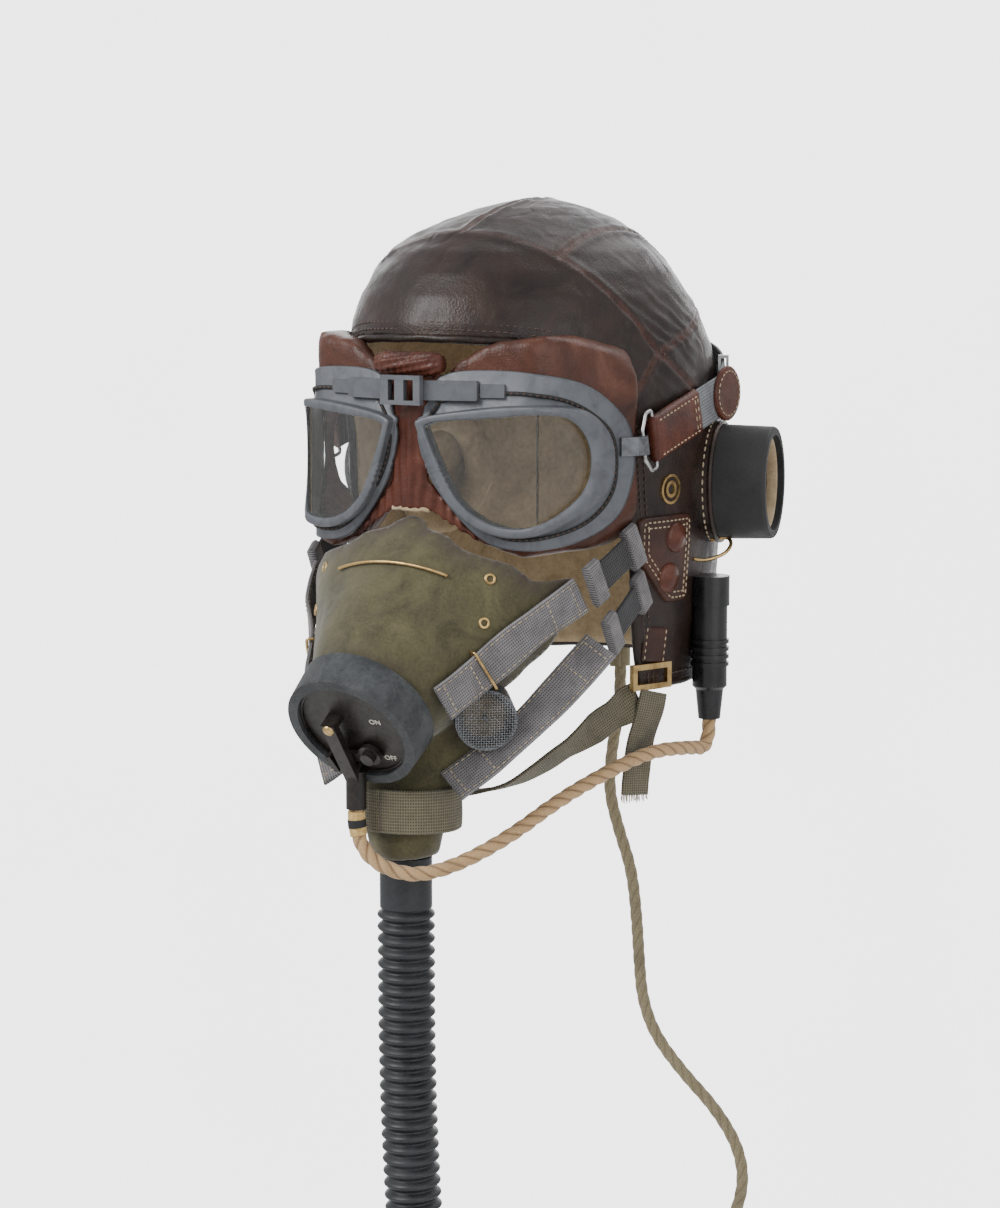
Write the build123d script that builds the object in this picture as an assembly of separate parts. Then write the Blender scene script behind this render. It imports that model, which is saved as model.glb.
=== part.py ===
from build123d import *
import functools
import math
import os

# A leather flying helmet with split-lens goggles, oxygen mask, hose and leads.
# Millimetres, +Z up, the face looks toward -Y and the wearer's left is +X.
# The origin is on the head's upright axis, level with the ears.

# Head and helmet leather
HALF_WIDTH = 82.0
HALF_DEPTH = 102.0
APEX_Z = 131.0
NECK_Z = -92.0
LEATHER = 2.2
LINING = 1.4
SOFT_GAP = 0.3
HALF_TURN = 180
SEAT_GAP = 0.3
OVERRUN = 40.0
# height, breadth and forward lean of each level, as shares of apex height and half depth
HEAD_SHARES = [
    (-0.95, 0.895, 0.000),
    (-0.70, 0.925, 0.000),
    (-0.45, 0.965, 0.000),
    (-0.20, 0.990, 0.000),
    (0.05, 1.000, 0.000),
    (0.22, 1.000, 0.005),
    (0.36, 0.988, 0.025),
    (0.48, 0.960, 0.055),
    (0.58, 0.915, 0.085),
    (0.67, 0.855, 0.105),
    (0.75, 0.780, 0.115),
    (0.82, 0.690, 0.110),
    (0.88, 0.580, 0.085),
    (0.93, 0.440, 0.050),
    (0.965, 0.300, 0.025),
    (0.99, 0.150, 0.010),
    (1.00, 0.050, 0.000),
]

# Face opening, seen from the side
BROW_Z = 71.0
TEMPLE_Y = -70.0
TEMPLE_Z = 66.0
CHEEK_Y = -46.0
CHEEK_Z = 22.0
FLAP_FRONT_Y = -38.0
FLAP_FRONT_Z = -60.0
FLAP_HEM_Y = -30.0
OPENING_ROUND = 9.0

# Seams, seen from the side
BROW_SEAM_Y = -65.0
BROW_SEAM_Z = 113.0
JUNCTION_Y = -27.0
JUNCTION_Z = 63.0
TEMPLE_SEAM_Y = -48.0
TEMPLE_SEAM_Z = 40.0
REAR_SEAM_Y = 5.0
REAR_SEAM_Z = 74.0
EAR_SEAM_Y = 5.0
EAR_SEAM_Z = 42.0
CROSS_SEAM_X = 46.0

# Ear cups
EAR_X = 84.5
EAR_Y = 28.0
EAR_TILT_DEG = 15.0
CUP_BASE_RADIUS = 27.2
CUP_RIM_RADIUS = 26.5
CUP_LENGTH = 26.0
CUP_BORE_RADIUS = 22.5
CUP_FLOOR = 5.0
CUP_EDGE_ROUND = 1.6
EAR_RING_RADIUS = 28.3
EAR_RING_REACH = 30.0
EAR_HOLE_RADIUS = 17.0
RECEIVER_RADIUS = 21.5
RECEIVER_LENGTH = 13.0
RECEIVER_NOSE_RADIUS = 13.0
RECEIVER_FACE_RADIUS = 17.0
RECEIVER_FACE_DEPTH = 1.5
EAR_PAD_RADIUS = 33.0
EAR_PAD_BORE = 19.0
EAR_PAD_THICK = 9.0

# Fittings on the ear flap, placed by Y and Z
STUD_Y = -20.0
STUD_Z = 0.0
STUD_RADIUS = 7.0
STUD_HEIGHT = 3.0
STUD_BORE_RADIUS = 2.4
STUD_POST_RADIUS = 4.0
STUD_RECESS = 1.2
TAB_TOP_Z = -12.0
TAB_BOTTOM_Z = -53.0
TAB_FRONT_Y = -42.0
TAB_BACK_Y = -4.5
TAB_FRONT_LOW_Z = -31.0
TAB_FOOT_FRONT_Y = -21.0
TAB_FOOT_BACK_Y = -5.0
TAB_THICK = 2.4
CAP_RADIUS = 7.0
CAP_HEIGHT = 3.2
CAP_UPPER_Y = -18.0
CAP_UPPER_Z = -22.5
CAP_LOWER_Y = -22.0
CAP_LOWER_Z = -41.0

# Goggle lens, seen from the front, and its bend seen from above
BRIDGE_HALF_GAP = 11.5
LENS_INNER_Y = -117.0
FRONT_PANE_DEG = 14.6
PANE_EDGE_X = 60.5
SIDE_PANE_DEG = 60.0
GLASS_THICK = 3.0
GLASS_REBATE = 1.6
GLASS_CLEARANCE = 0.2
PANE_JOINT = 0.3
LENS_LOW_Z = -11.5
LENS_HIGH_Z = 39.0
LENS_OUTER_X = 76.5
LENS_ROUND = 4.0
# lens outline: place across from inner edge to outer edge, height from low to high
LENS_OUTLINE_SHARES = [
    (0.02, 0.91),
    (0.78, 1.00),
    (0.93, 0.92),
    (1.00, 0.63),
    (0.96, 0.27),
    (0.76, 0.00),
    (0.45, 0.00),
    (0.18, 0.26),
    (0.00, 0.78),
]
RIM_WIDTH = 4.5
RIM_FRONT = 3.4
RIM_BACK = 3.4
FLANGE_FRONT = -1.6
FLANGE_LOW_Z = -22.0
FLANGE_HIGH_Z = 57.5
FLANGE_INNER_X = 5.6
FLANGE_OUTER_X = 83.8
FLANGE_OUTLINE_SHARES = [
    (0.02, 0.72),
    (0.12, 0.96),
    (0.50, 1.00),
    (0.80, 0.94),
    (0.95, 0.76),
    (1.00, 0.53),
    (0.97, 0.24),
    (0.88, 0.08),
    (0.72, 0.00),
    (0.46, 0.01),
    (0.28, 0.12),
    (0.08, 0.37),
    (0.00, 0.60),
]
WALL_REACH = 24.0

# Goggle pads
PAD_LOW_Z = -26.5
PAD_HIGH_Z = 73.0
PAD_INNER_X = 7.0
PAD_OUTER_X = 89.0
PAD_OUTLINE_SHARES = [
    (0.13, 0.86),
    (0.36, 0.97),
    (0.66, 1.00),
    (0.85, 0.92),
    (0.96, 0.78),
    (1.00, 0.45),
    (0.95, 0.20),
    (0.78, 0.03),
    (0.52, 0.00),
    (0.29, 0.06),
    (0.07, 0.22),
    (0.00, 0.50),
]
PAD_ROUND = 4.0
PAD_BORE_MARGIN = 3.5
PAD_DEPTH = 33.0
PAD_HEAD_GAP = 0.8
LIFT_MAX_DEG = 35.0
LIFT_STEP_COUNT = 5

# Nose leather and bridge
NOSE_THICK = 2.0
NOSE_TOP_Z = 44.0
NOSE_HALF_TOP = 9.0
NOSE_NOTCH_Z = -5.0
NOSE_NOTCH_HALF = 9.0
NOSE_WING_X = 33.0
NOSE_WING_Z = -20.0
NOSE_WAIST_Z = 8.0
TUBE_RADIUS = 5.2
TUBE_HALF_LENGTH = 17.0
TUBE_Y = -113.8
TUBE_Z = 60.0
LINK_HALF_LENGTH = 10.5
LINK_HALF_HEIGHT = 6.6
LINK_SINK = 1.6
LINK_THICK = 3.0
LINK_Z = 48.5
LINK_SLOT_HALF_HEIGHT = 4.6
LINK_SLOT_WIDTH = 3.4
LINK_OVAL_WIDTH = 5.0
LINK_OVAL_X = 4.5
LINK_SLOT_X = -4.5
ARM_INNER_X = 7.6
ARM_OUTER_X = 34.0
ARM_HALF_HEIGHT = 4.4
ARM_THICK = 2.4
SLIDE_PLATE_INNER_X = 34.6
SLIDE_PLATE_OUTER_X = 45.5
SLIDE_PLATE_HALF_HEIGHT = 3.0
SLIDE_PLATE_THICK = 1.2

# Goggle strap on the side of the head
PIVOT_Y = 28.0
PIVOT_Z = 41.8
STRAP_SLOPE_DEG = 13.5
STRAP_WIDTH = 20.0
STRAP_THICK = 1.4
STRAP_INNER_X = 85.2
STRAP_END_RADIUS = 10.0
LOOP_FRONT_Y = -46.0
LOOP_BACK_Y = -1.0
LOOP_THICK = 5.2
LOOP_SLOT_DEPTH = 12.0
WIRE_RADIUS = 0.9
WIRE_BEND_RADIUS = 1.7
RING_START_SHARE = 0.1
BEND_SHARE = 0.45
WIRE_CLEARANCE = 0.3
RING_HALF_HEIGHT = 13.6
RING_BOW = 10.0
RING_LEG_INSET = 3.4
RING_BOW_SHARE = 0.5
HOOK_HALF_HEIGHT = 4.2
HOOK_THICK = 1.2
PATCH_RADIUS = 13.0
PATCH_THICK = 1.6
REAR_STRAP_HALF_WIDTH = 87.0
REAR_STRAP_HALF_DEPTH = 99.5
REAR_STRAP_START_Y = 31.0
SLIDER_Y = 47.0
SLIDER_HALF_HEIGHT = 12.5
SLIDER_WIDTH = 5.0
SLIDER_BAR = 1.3
SLIDER_CLEARANCE = 0.5

# Mask, in the frame of the microphone: depth is measured back from its front face
MIC_Y = -162.0
MIC_Z = -99.0
MIC_DROP_DEG = 36.0
MASK_WALL = 2.4
MASK_FRONT_DEPTH = 16.0
MASK_FRONT_RADIUS = 29.0
MASK_MID_DEPTH = 48.0
MASK_MID_HALF = 43.0
MASK_MID_UP = 36.0
MASK_MID_DOWN = 42.0
MASK_CHEEK_DEPTH = 80.0
MASK_CHEEK_HALF = 61.0
MASK_CHEEK_UP = 42.0
MASK_CHEEK_DOWN = 58.0
MASK_REAR_DEPTH = 106.0
MASK_REAR_HALF = 68.0
MASK_REAR_UP = 44.0
MASK_REAR_DOWN = 60.0
MASK_FACE_HALF_WIDTH = 98.0
MASK_FACE_HALF_DEPTH = 112.0
MASK_FACE_LOW_Z = -116.0
# the mask's top edge under the goggles, on the wearer's left: X and Z
MASK_TOP_OUTLINE = [
    (0.0, -10.5),
    (7.0, -13.5),
    (16.0, -27.5),
    (35.0, -35.0),
    (62.0, -39.0),
    (90.0, -39.0),
    (90.0, 20.0),
]
CHIN_TOP_Z = -92.0
CHIN_TOP_Y = -103.0
CHIN_TOP_HALF_X = 44.0
CHIN_TOP_HALF_Y = 22.0
SPOUT_TOP_Z = -143.0
SPOUT_TOP_HALF_X = 20.5
SPOUT_TOP_HALF_Y = 16.5
SPOUT_Y = -119.0
SPOUT_LOW_Z = -163.0
SPOUT_LOW_RADIUS = 15.5
SPOUT_BORE_RADIUS = 9.0

# Nose wire on the outside of the mask
NOSE_WIRE_RADIUS = 0.8
NOSE_WIRE_DEPTH = 66.0
NOSE_WIRE_SWEEP_DEG = 64.0

# Microphone
RING_LIP_RADIUS = 31.0
RING_BACK_RADIUS = 32.0
RING_LIP_PROUD = 2.0
MIC_RADIUS = 26.0
MIC_LENGTH = 24.0
MIC_WALL = 2.5
MIC_FACE_DISH = 1.2
MIC_FACE_DISH_RADIUS = 25.0
MIC_CAPSULE_RADIUS = 18.0
MIC_CAPSULE_LENGTH = 11.0
COVER_X = -7.0
COVER_LIFT = 3.4
COVER_FOOT = 3.0
COVER_LOW_FOOT = -21.0
OUTLET_Y = -149.0
OUTLET_Z = -137.0
OUTLET_LENGTH = 17.0
COVER_HALF_WIDTH = 3.4
COVER_TOP = 8.0
COVER_BOTTOM = -28.0
COVER_HEIGHT = 7.0
COVER_SNOUT_RADIUS = 4.6
SPINDLE_X = 5.0
SPINDLE_UP = -13.0
SPINDLE_RADIUS = 3.2
SPINDLE_HEIGHT = 5.5
SWITCH_PIVOT_CLEARANCE = 0.06
SWITCH_REST_DEG = 192.0
SWITCH_ARM_LENGTH = 19.5
SWITCH_GRIP_THICK = 2.2
SWITCH_ARM_HALF = 2.4
SWITCH_ARM_THICK = 2.4
SWITCH_HUB_RADIUS = 5.4
SWITCH_TOOTH_COUNT = 6
SWITCH_TOOTH = 1.4
SWITCH_GRIP_LENGTH = 9.0
SWITCH_GRIP_HEIGHT = 6.0

# Exhaust valve on the wearer's left of the mask
VALVE_X = 44.0
VALVE_Y = -121.0
VALVE_Z = -97.0
VALVE_OUT_DEG = 38.0
VALVE_DROP_DEG = 8.0
VALVE_RADIUS = 14.0
VALVE_LENGTH = 20.0
VALVE_WALL = 1.8
VALVE_SEAT_DEPTH = 8.0
VALVE_DISC_LIFT = 0.05
VALVE_SEAT_RADIUS = 8.5
VALVE_SEAT_THICK = 2.0
VALVE_DISC_RADIUS = 10.0
VALVE_DISC_THICK = 1.2
VALVE_STEM_RADIUS = 1.2
VALVE_STEM_CLEARANCE = 0.05
VALVE_STEM_LENGTH = 5.0
MESH_WIRE = 1.0
MESH_PITCH = 3.0
MESH_THICK = 0.9
MESH_EDGE = 1.6

# Inlet valve in the spout
INLET_SEAT_Z = -156.0
INLET_SEAT_THICK = 2.0
INLET_PORT_RADIUS = 5.5
INLET_DISC_RADIUS = 7.8
INLET_DISC_THICK = 1.0

# Breathing hose and its end fitting
HOSE_ROUTE = [
    (0.0, -119.0, -163.0),
    (0.0, -119.0, -200.0),
    (-0.8, -117.6, -262.0),
    (0.6, -115.6, -322.0),
    (4.2, -114.2, -384.0),
    (5.4, -114.6, -446.0),
    (3.2, -115.4, -508.0),
    (2.4, -115.6, -555.0),
    (2.4, -115.6, -590.0),
]
HOSE_CREST_RADIUS = 13.2
HOSE_ROOT_RADIUS = 10.6
HOSE_BORE_RADIUS = 8.6
HOSE_RIB_COUNT = 66
HOSE_CUFF_LENGTH = 24.0
HOSE_CUFF_RADIUS = 12.0
RIB_RISE_SHARE = 0.28
RIB_TOP_SHARE = 0.34
CONNECTOR_LENGTH = 38.0
CONNECTOR_RADIUS = 11.0
CONNECTOR_BORE_RADIUS = 7.5
CONNECTOR_FLANGE_RADIUS = 15.0
CONNECTOR_FLANGE_LENGTH = 4.0
CONNECTOR_SPIGOT = 16.0
BAYONET_PIN_RADIUS = 1.5
BAYONET_PIN_REACH = 3.0

# Jack plug and microphone cord
PLUG_X = 87.6
PLUG_Y = 11.5
PLUG_TOP_Z = -57.0
PLUG_BARREL_LENGTH = 40.0
PLUG_RADIUS = 8.2
PLUG_NECK_RADIUS = 6.6
PLUG_BOOT_LENGTH = 14.0
PLUG_BOOT_RADIUS = 5.2
PLUG_RIB_COUNT = 4
PLUG_RIB_PITCH = 3.6
PLUG_RIB_WIDTH = 1.8
PLUG_RIB_PROUD = 0.9
PLUG_RIB_START = 16.0
SOCKET_RADIUS = 9.2
SOCKET_LENGTH = 14.0
SOCKET_BRACKET_HALF = 5.0
SOCKET_BRACKET_REACH = 14.0
MIC_CORD_RADIUS = 3.4
MIC_CORD_ROUTE = [
    (-7.0, -149.0, -137.0),
    (-7.0, -149.0, -148.0),
    (-2.4, -147.2, -158.5),
    (6.3, -142.4, -165.0),
    (17.5, -134.6, -167.6),
    (31.0, -121.6, -163.0),
    (46.0, -102.7, -152.0),
    (58.0, -82.4, -138.6),
    (69.0, -58.0, -128.5),
    (79.5, -31.0, -121.0),
    (86.6, -6.0, -122.6),
    (87.6, 11.5, -125.5),
    (87.6, 11.5, -111.0),
]

# Helmet lead behind the neck
LEAD_RADIUS = 3.1
LEAD_ROUTE = [
    (-8.0, 99.6, -104.0),
    (-8.0, 99.6, -124.0),
    (-11.5, 97.5, -146.0),
    (-12.0, 94.5, -168.0),
    (-5.0, 92.6, -188.0),
    (3.0, 92.0, -208.0),
    (6.0, 92.0, -231.0),
    (7.5, 92.2, -254.0),
    (9.5, 92.0, -275.0),
    (17.0, 92.0, -293.5),
    (33.0, 92.2, -311.0),
    (52.0, 92.0, -327.0),
    (65.5, 92.0, -345.5),
    (68.8, 92.2, -365.0),
    (62.0, 92.4, -386.0),
    (55.0, 92.2, -407.0),
    (53.0, 92.0, -428.0),
    (53.0, 92.0, -448.0),
]
GLAND_X = -8.0
GLAND_Y = 99.6
GLAND_LENGTH = 26.0
GLAND_RADIUS = 5.0
LEAD_PLUG_LENGTH = 44.0
LEAD_PLUG_RADIUS = 8.0
LEAD_PLUG_TIP_RADIUS = 3.2
LEAD_PLUG_TIP_LENGTH = 26.0
LEAD_PLUG_RING_PROUD = 0.8
LEAD_PLUG_RING_LENGTH = 4.0

# Harness webbing on the wearer's left and right
WEB_WIDTH = 18.0
WEB_THICK = 1.8
LINK_LOOP_THICK = 4.4
LINK_LOOP_DEPTH = 8.0
LINK_LOOP_HEIGHT = 22.0
ELASTIC_WIDTH = 15.0
ELASTIC_THICK = 1.6

# Webbing runs on the wearer's left, with the direction of the width at each point
UPPER_WEB_POINTS = [
    (35.6, -144.4, -87.0),
    (45.4, -126.0, -74.0),
    (58.5, -108.5, -58.0),
    (71.0, -84.0, -43.0),
]
UPPER_WEB_SIDES = [
    (0.20, 0.35, 0.90),
    (0.25, 0.30, 0.90),
    (0.25, 0.25, 0.92),
    (0.15, 0.30, 0.92),
]
LOWER_WEB_POINTS = [
    (30.0, -128.0, -127.0),
    (44.0, -114.5, -113.0),
    (60.0, -97.0, -93.0),
    (75.0, -72.0, -67.0),
]
LOWER_WEB_SIDES = [
    (0.10, 0.60, 0.80),
    (0.10, 0.60, 0.80),
    (0.10, 0.60, 0.80),
    (0.10, 0.60, 0.80),
]
# links from webbing to leather tab: first end, last end and direction of the width
LINKS = [
    ((75.0, -77.0, -38.0), (80.5, -52.0, -24.0), (0.10, 0.28, 0.95)),
    ((77.6, -65.6, -62.0), (79.8, -43.2, -45.6), (0.10, 0.60, 0.80)),
]

# Webbing band round the spout
CHIN_BAND_HALF_X = 26.0
CHIN_BAND_HALF_Y = 21.0
CHIN_BAND_Y = -119.0
CHIN_BAND_LOW_Z = -149.0
CHIN_BAND_HEIGHT = 20.0

# Chin strap
FLAP_SIDE = (0.33, 0.94, 0.0)
KEEPER_POINTS = [(78.0, -25.0, -64.0), (77.4, -27.5, -80.0)]
BUCKLE_CENTRE = (77.2, -28.2, -86.6)
CHIN_STRAP_POINTS = [
    (73.4, -33.4, -96.4),
    (66.0, -46.0, -104.0),
    (52.0, -63.0, -118.0),
    (30.0, -76.0, -134.0),
    (0.0, -81.0, -140.0),
    (-30.0, -76.0, -134.0),
    (-52.0, -63.0, -118.0),
    (-66.0, -46.0, -104.0),
    (-73.4, -33.4, -96.4),
]
CHIN_STRAP_SIDES = [
    (0.45, 0.80, 0.35),
    (0.50, 0.80, 0.30),
    (0.35, 0.92, 0.10),
    (0.15, 0.98, 0.00),
    (0.00, 1.00, 0.00),
    (-0.15, 0.98, 0.00),
    (-0.35, 0.92, 0.10),
    (-0.50, 0.80, 0.30),
    (-0.45, 0.80, 0.35),
]
TAIL_POINTS = [
    (78.5, -27.4, -93.8),
    (77.0, -29.5, -104.0),
    (73.0, -32.0, -122.0),
    (72.0, -34.0, -142.0),
]
KEEPER_WIDTH = 15.0
KEEPER_THICK = 2.0
BUCKLE_HALF_WIDTH = 12.0
BUCKLE_HALF_HEIGHT = 6.0
BUCKLE_BAR = 1.3
CHIN_STRAP_WIDTH = 17.0
CHIN_STRAP_THICK = 1.6


PARTS = {}


def keep(name, shape):
    """File one finished piece under its node's name."""
    PARTS[name] = shape


def mirrored(shape):
    return mirror(shape, about=Plane.YZ)


def side_plane(start_y, start_z, end_y, end_z):
    """A plane square to the side view, through two places; its normal is to the left of the way."""
    run_y = end_y - start_y
    run_z = end_z - start_z
    return Plane(origin=(0, start_y, start_z), x_dir=(1, 0, 0), z_dir=(0, -run_z, run_y))


def above(shape, plane):
    return split(shape, bisect_by=plane, keep=Keep.TOP)


def below(shape, plane):
    return split(shape, bisect_by=plane, keep=Keep.BOTTOM)


def rod(plane, radius, start, end):
    """A round bar along a plane's normal, between two distances from the plane."""
    return extrude(plane.offset(start) * Circle(radius), end - start)


def cone(plane, start_radius, end_radius, start, end):
    first = plane.offset(start) * Circle(start_radius)
    last = plane.offset(end) * Circle(end_radius)
    return loft([first, last])


def side_prism(points, reach):
    """An outline given in Y and Z, drawn out sideways to both sides of the middle."""
    outline = Plane.YZ * make_face(Polyline(*points, close=True))
    return extrude(outline, reach, both=True)


def front_prism(points, radius, start_y, end_y):
    """An outline given in X and Z, drawn out from one depth to another."""
    flat = [(x, 0, z) for x, z in points]
    outline = make_face(FilletPolyline(*flat, radius=radius, close=True))
    solid = extrude(outline, end_y - start_y, dir=(0, 1, 0))
    return Pos(0, start_y, 0) * solid


def spread(shares, low_x, high_x, low_z, high_z):
    """An outline from its shares of a box."""
    return [
        (low_x + across * (high_x - low_x), low_z + up * (high_z - low_z))
        for across, up in shares
    ]


def ribbon(points, sides, width, thick):
    """A flat strap through points, with the direction of its width at each point."""
    spots = [Vector(*point) for point in points]
    across = [Vector(*side).normalized() for side in sides]
    sections = []
    for index, spot in enumerate(spots):
        before = spots[max(index - 1, 0)]
        after = spots[min(index + 1, len(spots) - 1)]
        normal = (after - before).cross(across[index]).normalized()
        edge = across[index] * (width / 2)
        face = normal * (thick / 2)
        corners = [spot - edge - face, spot + edge - face, spot + edge + face, spot - edge + face]
        sections.append(make_face(Polyline(*corners, close=True)))
    return loft(sections, ruled=True)


def route_path(points, label):
    """Straight runs joined by arcs that are as large as the shorter run allows."""
    spots = [Vector(*point) for point in points]
    radii = []
    for before, spot, after in zip(spots, spots[1:], spots[2:]):
        run_in = spot - before
        run_out = after - spot
        turn = math.radians(run_in.get_angle(run_out))
        radii.append(BEND_SHARE * min(run_in.length, run_out.length) / math.tan(turn / 2))
    print(label, "bend radii", [round(radius) for radius in radii])
    return FilletPolyline(*points, radius=radii)


def tube(points, radius, label):
    path = route_path(points, label)
    start = Plane(origin=path @ 0, z_dir=path % 0)
    solid = sweep(start * Circle(radius), path=path)
    true_volume = math.pi * radius ** 2 * path.length
    print(label, "length", round(path.length, 1), "volume ratio", round(solid.volume / true_volume, 4))
    return solid


# The helmet

@functools.cache
def head_form(inset):
    """The head's outer form, drawn in all round by an inset."""
    half_width = HALF_WIDTH - inset
    half_depth = HALF_DEPTH - inset
    apex = APEX_Z - inset
    sections = []
    for height, breadth, lean in HEAD_SHARES:
        level = Pos(0, -lean * half_depth, height * apex)
        sections.append(level * Ellipse(half_width * breadth, half_depth * breadth))
    return loft(sections, ruled=True)


def head_skin(outer, inner):
    """A layer over the head form, between two heights above its surface."""
    shell = head_form(-outer) - head_form(-inner)
    return above(shell, Plane.XY.offset(NECK_Z))


def face_opening():
    front = -HALF_DEPTH - OVERRUN
    low = NECK_Z - OVERRUN
    points = [
        (front, BROW_Z),
        (TEMPLE_Y, TEMPLE_Z),
        (CHEEK_Y, CHEEK_Z),
        (FLAP_FRONT_Y, FLAP_FRONT_Z),
        (FLAP_HEM_Y, NECK_Z),
        (FLAP_HEM_Y, low),
        (front, low),
    ]
    wire = FilletPolyline(*points, radius=OPENING_ROUND, close=True)
    outline = Plane.YZ * make_face(wire)
    return extrude(outline, HALF_WIDTH + OVERRUN, both=True)


def ear_plane():
    turn = math.radians(EAR_TILT_DEG)
    normal = (math.cos(turn), math.sin(turn), 0)
    return Plane(origin=(EAR_X, EAR_Y, 0), x_dir=(0, 0, 1), z_dir=normal)


def make_leather(opening):
    shell = head_skin(0, -LEATHER) - opening
    brow_seam = side_plane(JUNCTION_Y, JUNCTION_Z, BROW_SEAM_Y, BROW_SEAM_Z)
    temple_seam = side_plane(JUNCTION_Y, JUNCTION_Z, TEMPLE_SEAM_Y, TEMPLE_SEAM_Z)
    rear_seam = side_plane(JUNCTION_Y, JUNCTION_Z, REAR_SEAM_Y, REAR_SEAM_Z)
    ear_seam = side_plane(JUNCTION_Y, JUNCTION_Z, EAR_SEAM_Y, EAR_SEAM_Z)
    front = below(shell, temple_seam)
    keep("brow_panel", above(front, brow_seam))
    crown = above(below(shell, brow_seam), rear_seam)
    left_crown = above(crown, Plane.YZ)
    cross_seam = Plane.YZ.offset(CROSS_SEAM_X)
    keep("crown_left", below(left_crown, cross_seam))
    keep("crown_right", mirrored(PARTS["crown_left"]))
    side = above(left_crown, cross_seam)
    keep("side_crowns", Compound(children=[side, mirrored(side)]))
    keep("nape_panel", above(below(shell, rear_seam), ear_seam))
    flaps = below(above(shell, temple_seam), ear_seam)
    left_flap = above(flaps, Plane.YZ) - rod(ear_plane(), EAR_HOLE_RADIUS, -EAR_RING_REACH, 0)
    keep("ear_flap_left", left_flap)
    keep("ear_flap_right", mirrored(left_flap))


def make_lining(opening):
    outer = -LEATHER - SOFT_GAP
    shell = head_skin(outer, outer - LINING) - opening
    hole = rod(ear_plane(), EAR_HOLE_RADIUS, -EAR_RING_REACH, 0)
    keep("chamois_lining", shell - hole - mirrored(hole))


def make_ear_cups(body):
    plane = ear_plane()
    ring = rod(plane, EAR_RING_RADIUS, -EAR_RING_REACH, 0) - body
    ring = ring - rod(plane, EAR_HOLE_RADIUS, -EAR_RING_REACH, 0)
    keep("ear_rings", Compound(children=[ring, mirrored(ring)]))
    cup = cone(plane, CUP_BASE_RADIUS, CUP_RIM_RADIUS, 0, CUP_LENGTH)
    cup = fillet(cup.edges().group_by(Axis(plane.origin, plane.z_dir))[-1], CUP_EDGE_ROUND)
    cup = cup - rod(plane, CUP_BORE_RADIUS, CUP_FLOOR, CUP_LENGTH)
    cup = cup - rod(plane, EAR_HOLE_RADIUS, 0, CUP_FLOOR)
    keep("ear_cups", Compound(children=[cup, mirrored(cup)]))
    top = CUP_FLOOR + RECEIVER_LENGTH
    receiver = rod(plane, RECEIVER_RADIUS, CUP_FLOOR, top)
    receiver = receiver + rod(plane, RECEIVER_NOSE_RADIUS, -CUP_FLOOR, CUP_FLOOR)
    dish = rod(plane, RECEIVER_FACE_RADIUS, top - RECEIVER_FACE_DEPTH, top)
    receiver = receiver - dish
    keep("receivers", Compound(children=[receiver, mirrored(receiver)]))


def make_ear_pads():
    plane = ear_plane()
    depth = -LEATHER - SOFT_GAP - LINING - SOFT_GAP
    space = head_form(-depth) - head_form(EAR_PAD_THICK - depth)
    ring = rod(plane, EAR_PAD_RADIUS, -EAR_RING_REACH - OVERRUN, 0)
    ring = ring - rod(plane, EAR_PAD_BORE, -EAR_RING_REACH - OVERRUN, 0)
    pad = above(space & ring, Plane.YZ)
    keep("ear_pads", Compound(children=[pad, mirrored(pad)]))


def side_axis(y, z):
    """A plane facing +X on the middle plane of the head, at a place in the side view."""
    return Plane(origin=(0, y, z), x_dir=(0, 1, 0), z_dir=(1, 0, 0))


def make_studs(body):
    plane = side_axis(STUD_Y, STUD_Z)
    layer = above(head_skin(STUD_HEIGHT, 0), Plane.YZ)
    stud = layer & rod(plane, STUD_RADIUS, 0, HALF_WIDTH + OVERRUN)
    recess = head_skin(STUD_HEIGHT, STUD_HEIGHT - STUD_RECESS)
    groove = rod(plane, STUD_RADIUS - STUD_RECESS, 0, HALF_WIDTH + OVERRUN)
    groove = groove - rod(plane, STUD_POST_RADIUS, 0, HALF_WIDTH + OVERRUN)
    stud = stud - (recess & groove)
    stud = stud - rod(plane, STUD_BORE_RADIUS, 0, HALF_WIDTH + OVERRUN)
    keep("press_studs", Compound(children=[stud, mirrored(stud)]))


def tab_outline():
    return [
        (TAB_FRONT_Y, TAB_TOP_Z),
        (TAB_BACK_Y, TAB_TOP_Z),
        (TAB_FOOT_BACK_Y, TAB_BOTTOM_Z),
        (TAB_FOOT_FRONT_Y, TAB_BOTTOM_Z),
        (TAB_FRONT_Y, TAB_FRONT_LOW_Z),
    ]


def make_snap_tab():
    layer = above(head_skin(TAB_THICK, SOFT_GAP), Plane.YZ)
    tab = layer & side_prism(tab_outline(), HALF_WIDTH + OVERRUN)
    keep("snap_tabs", Compound(children=[tab, mirrored(tab)]))
    cap_layer = above(head_skin(TAB_THICK + CAP_HEIGHT, TAB_THICK), Plane.YZ)
    caps = []
    for y, z in [(CAP_UPPER_Y, CAP_UPPER_Z), (CAP_LOWER_Y, CAP_LOWER_Z)]:
        caps.append(cap_layer & rod(side_axis(y, z), CAP_RADIUS, 0, HALF_WIDTH + OVERRUN))
    keep("snap_caps", Compound(children=caps + [mirrored(cap) for cap in caps]))


# The goggles

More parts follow.
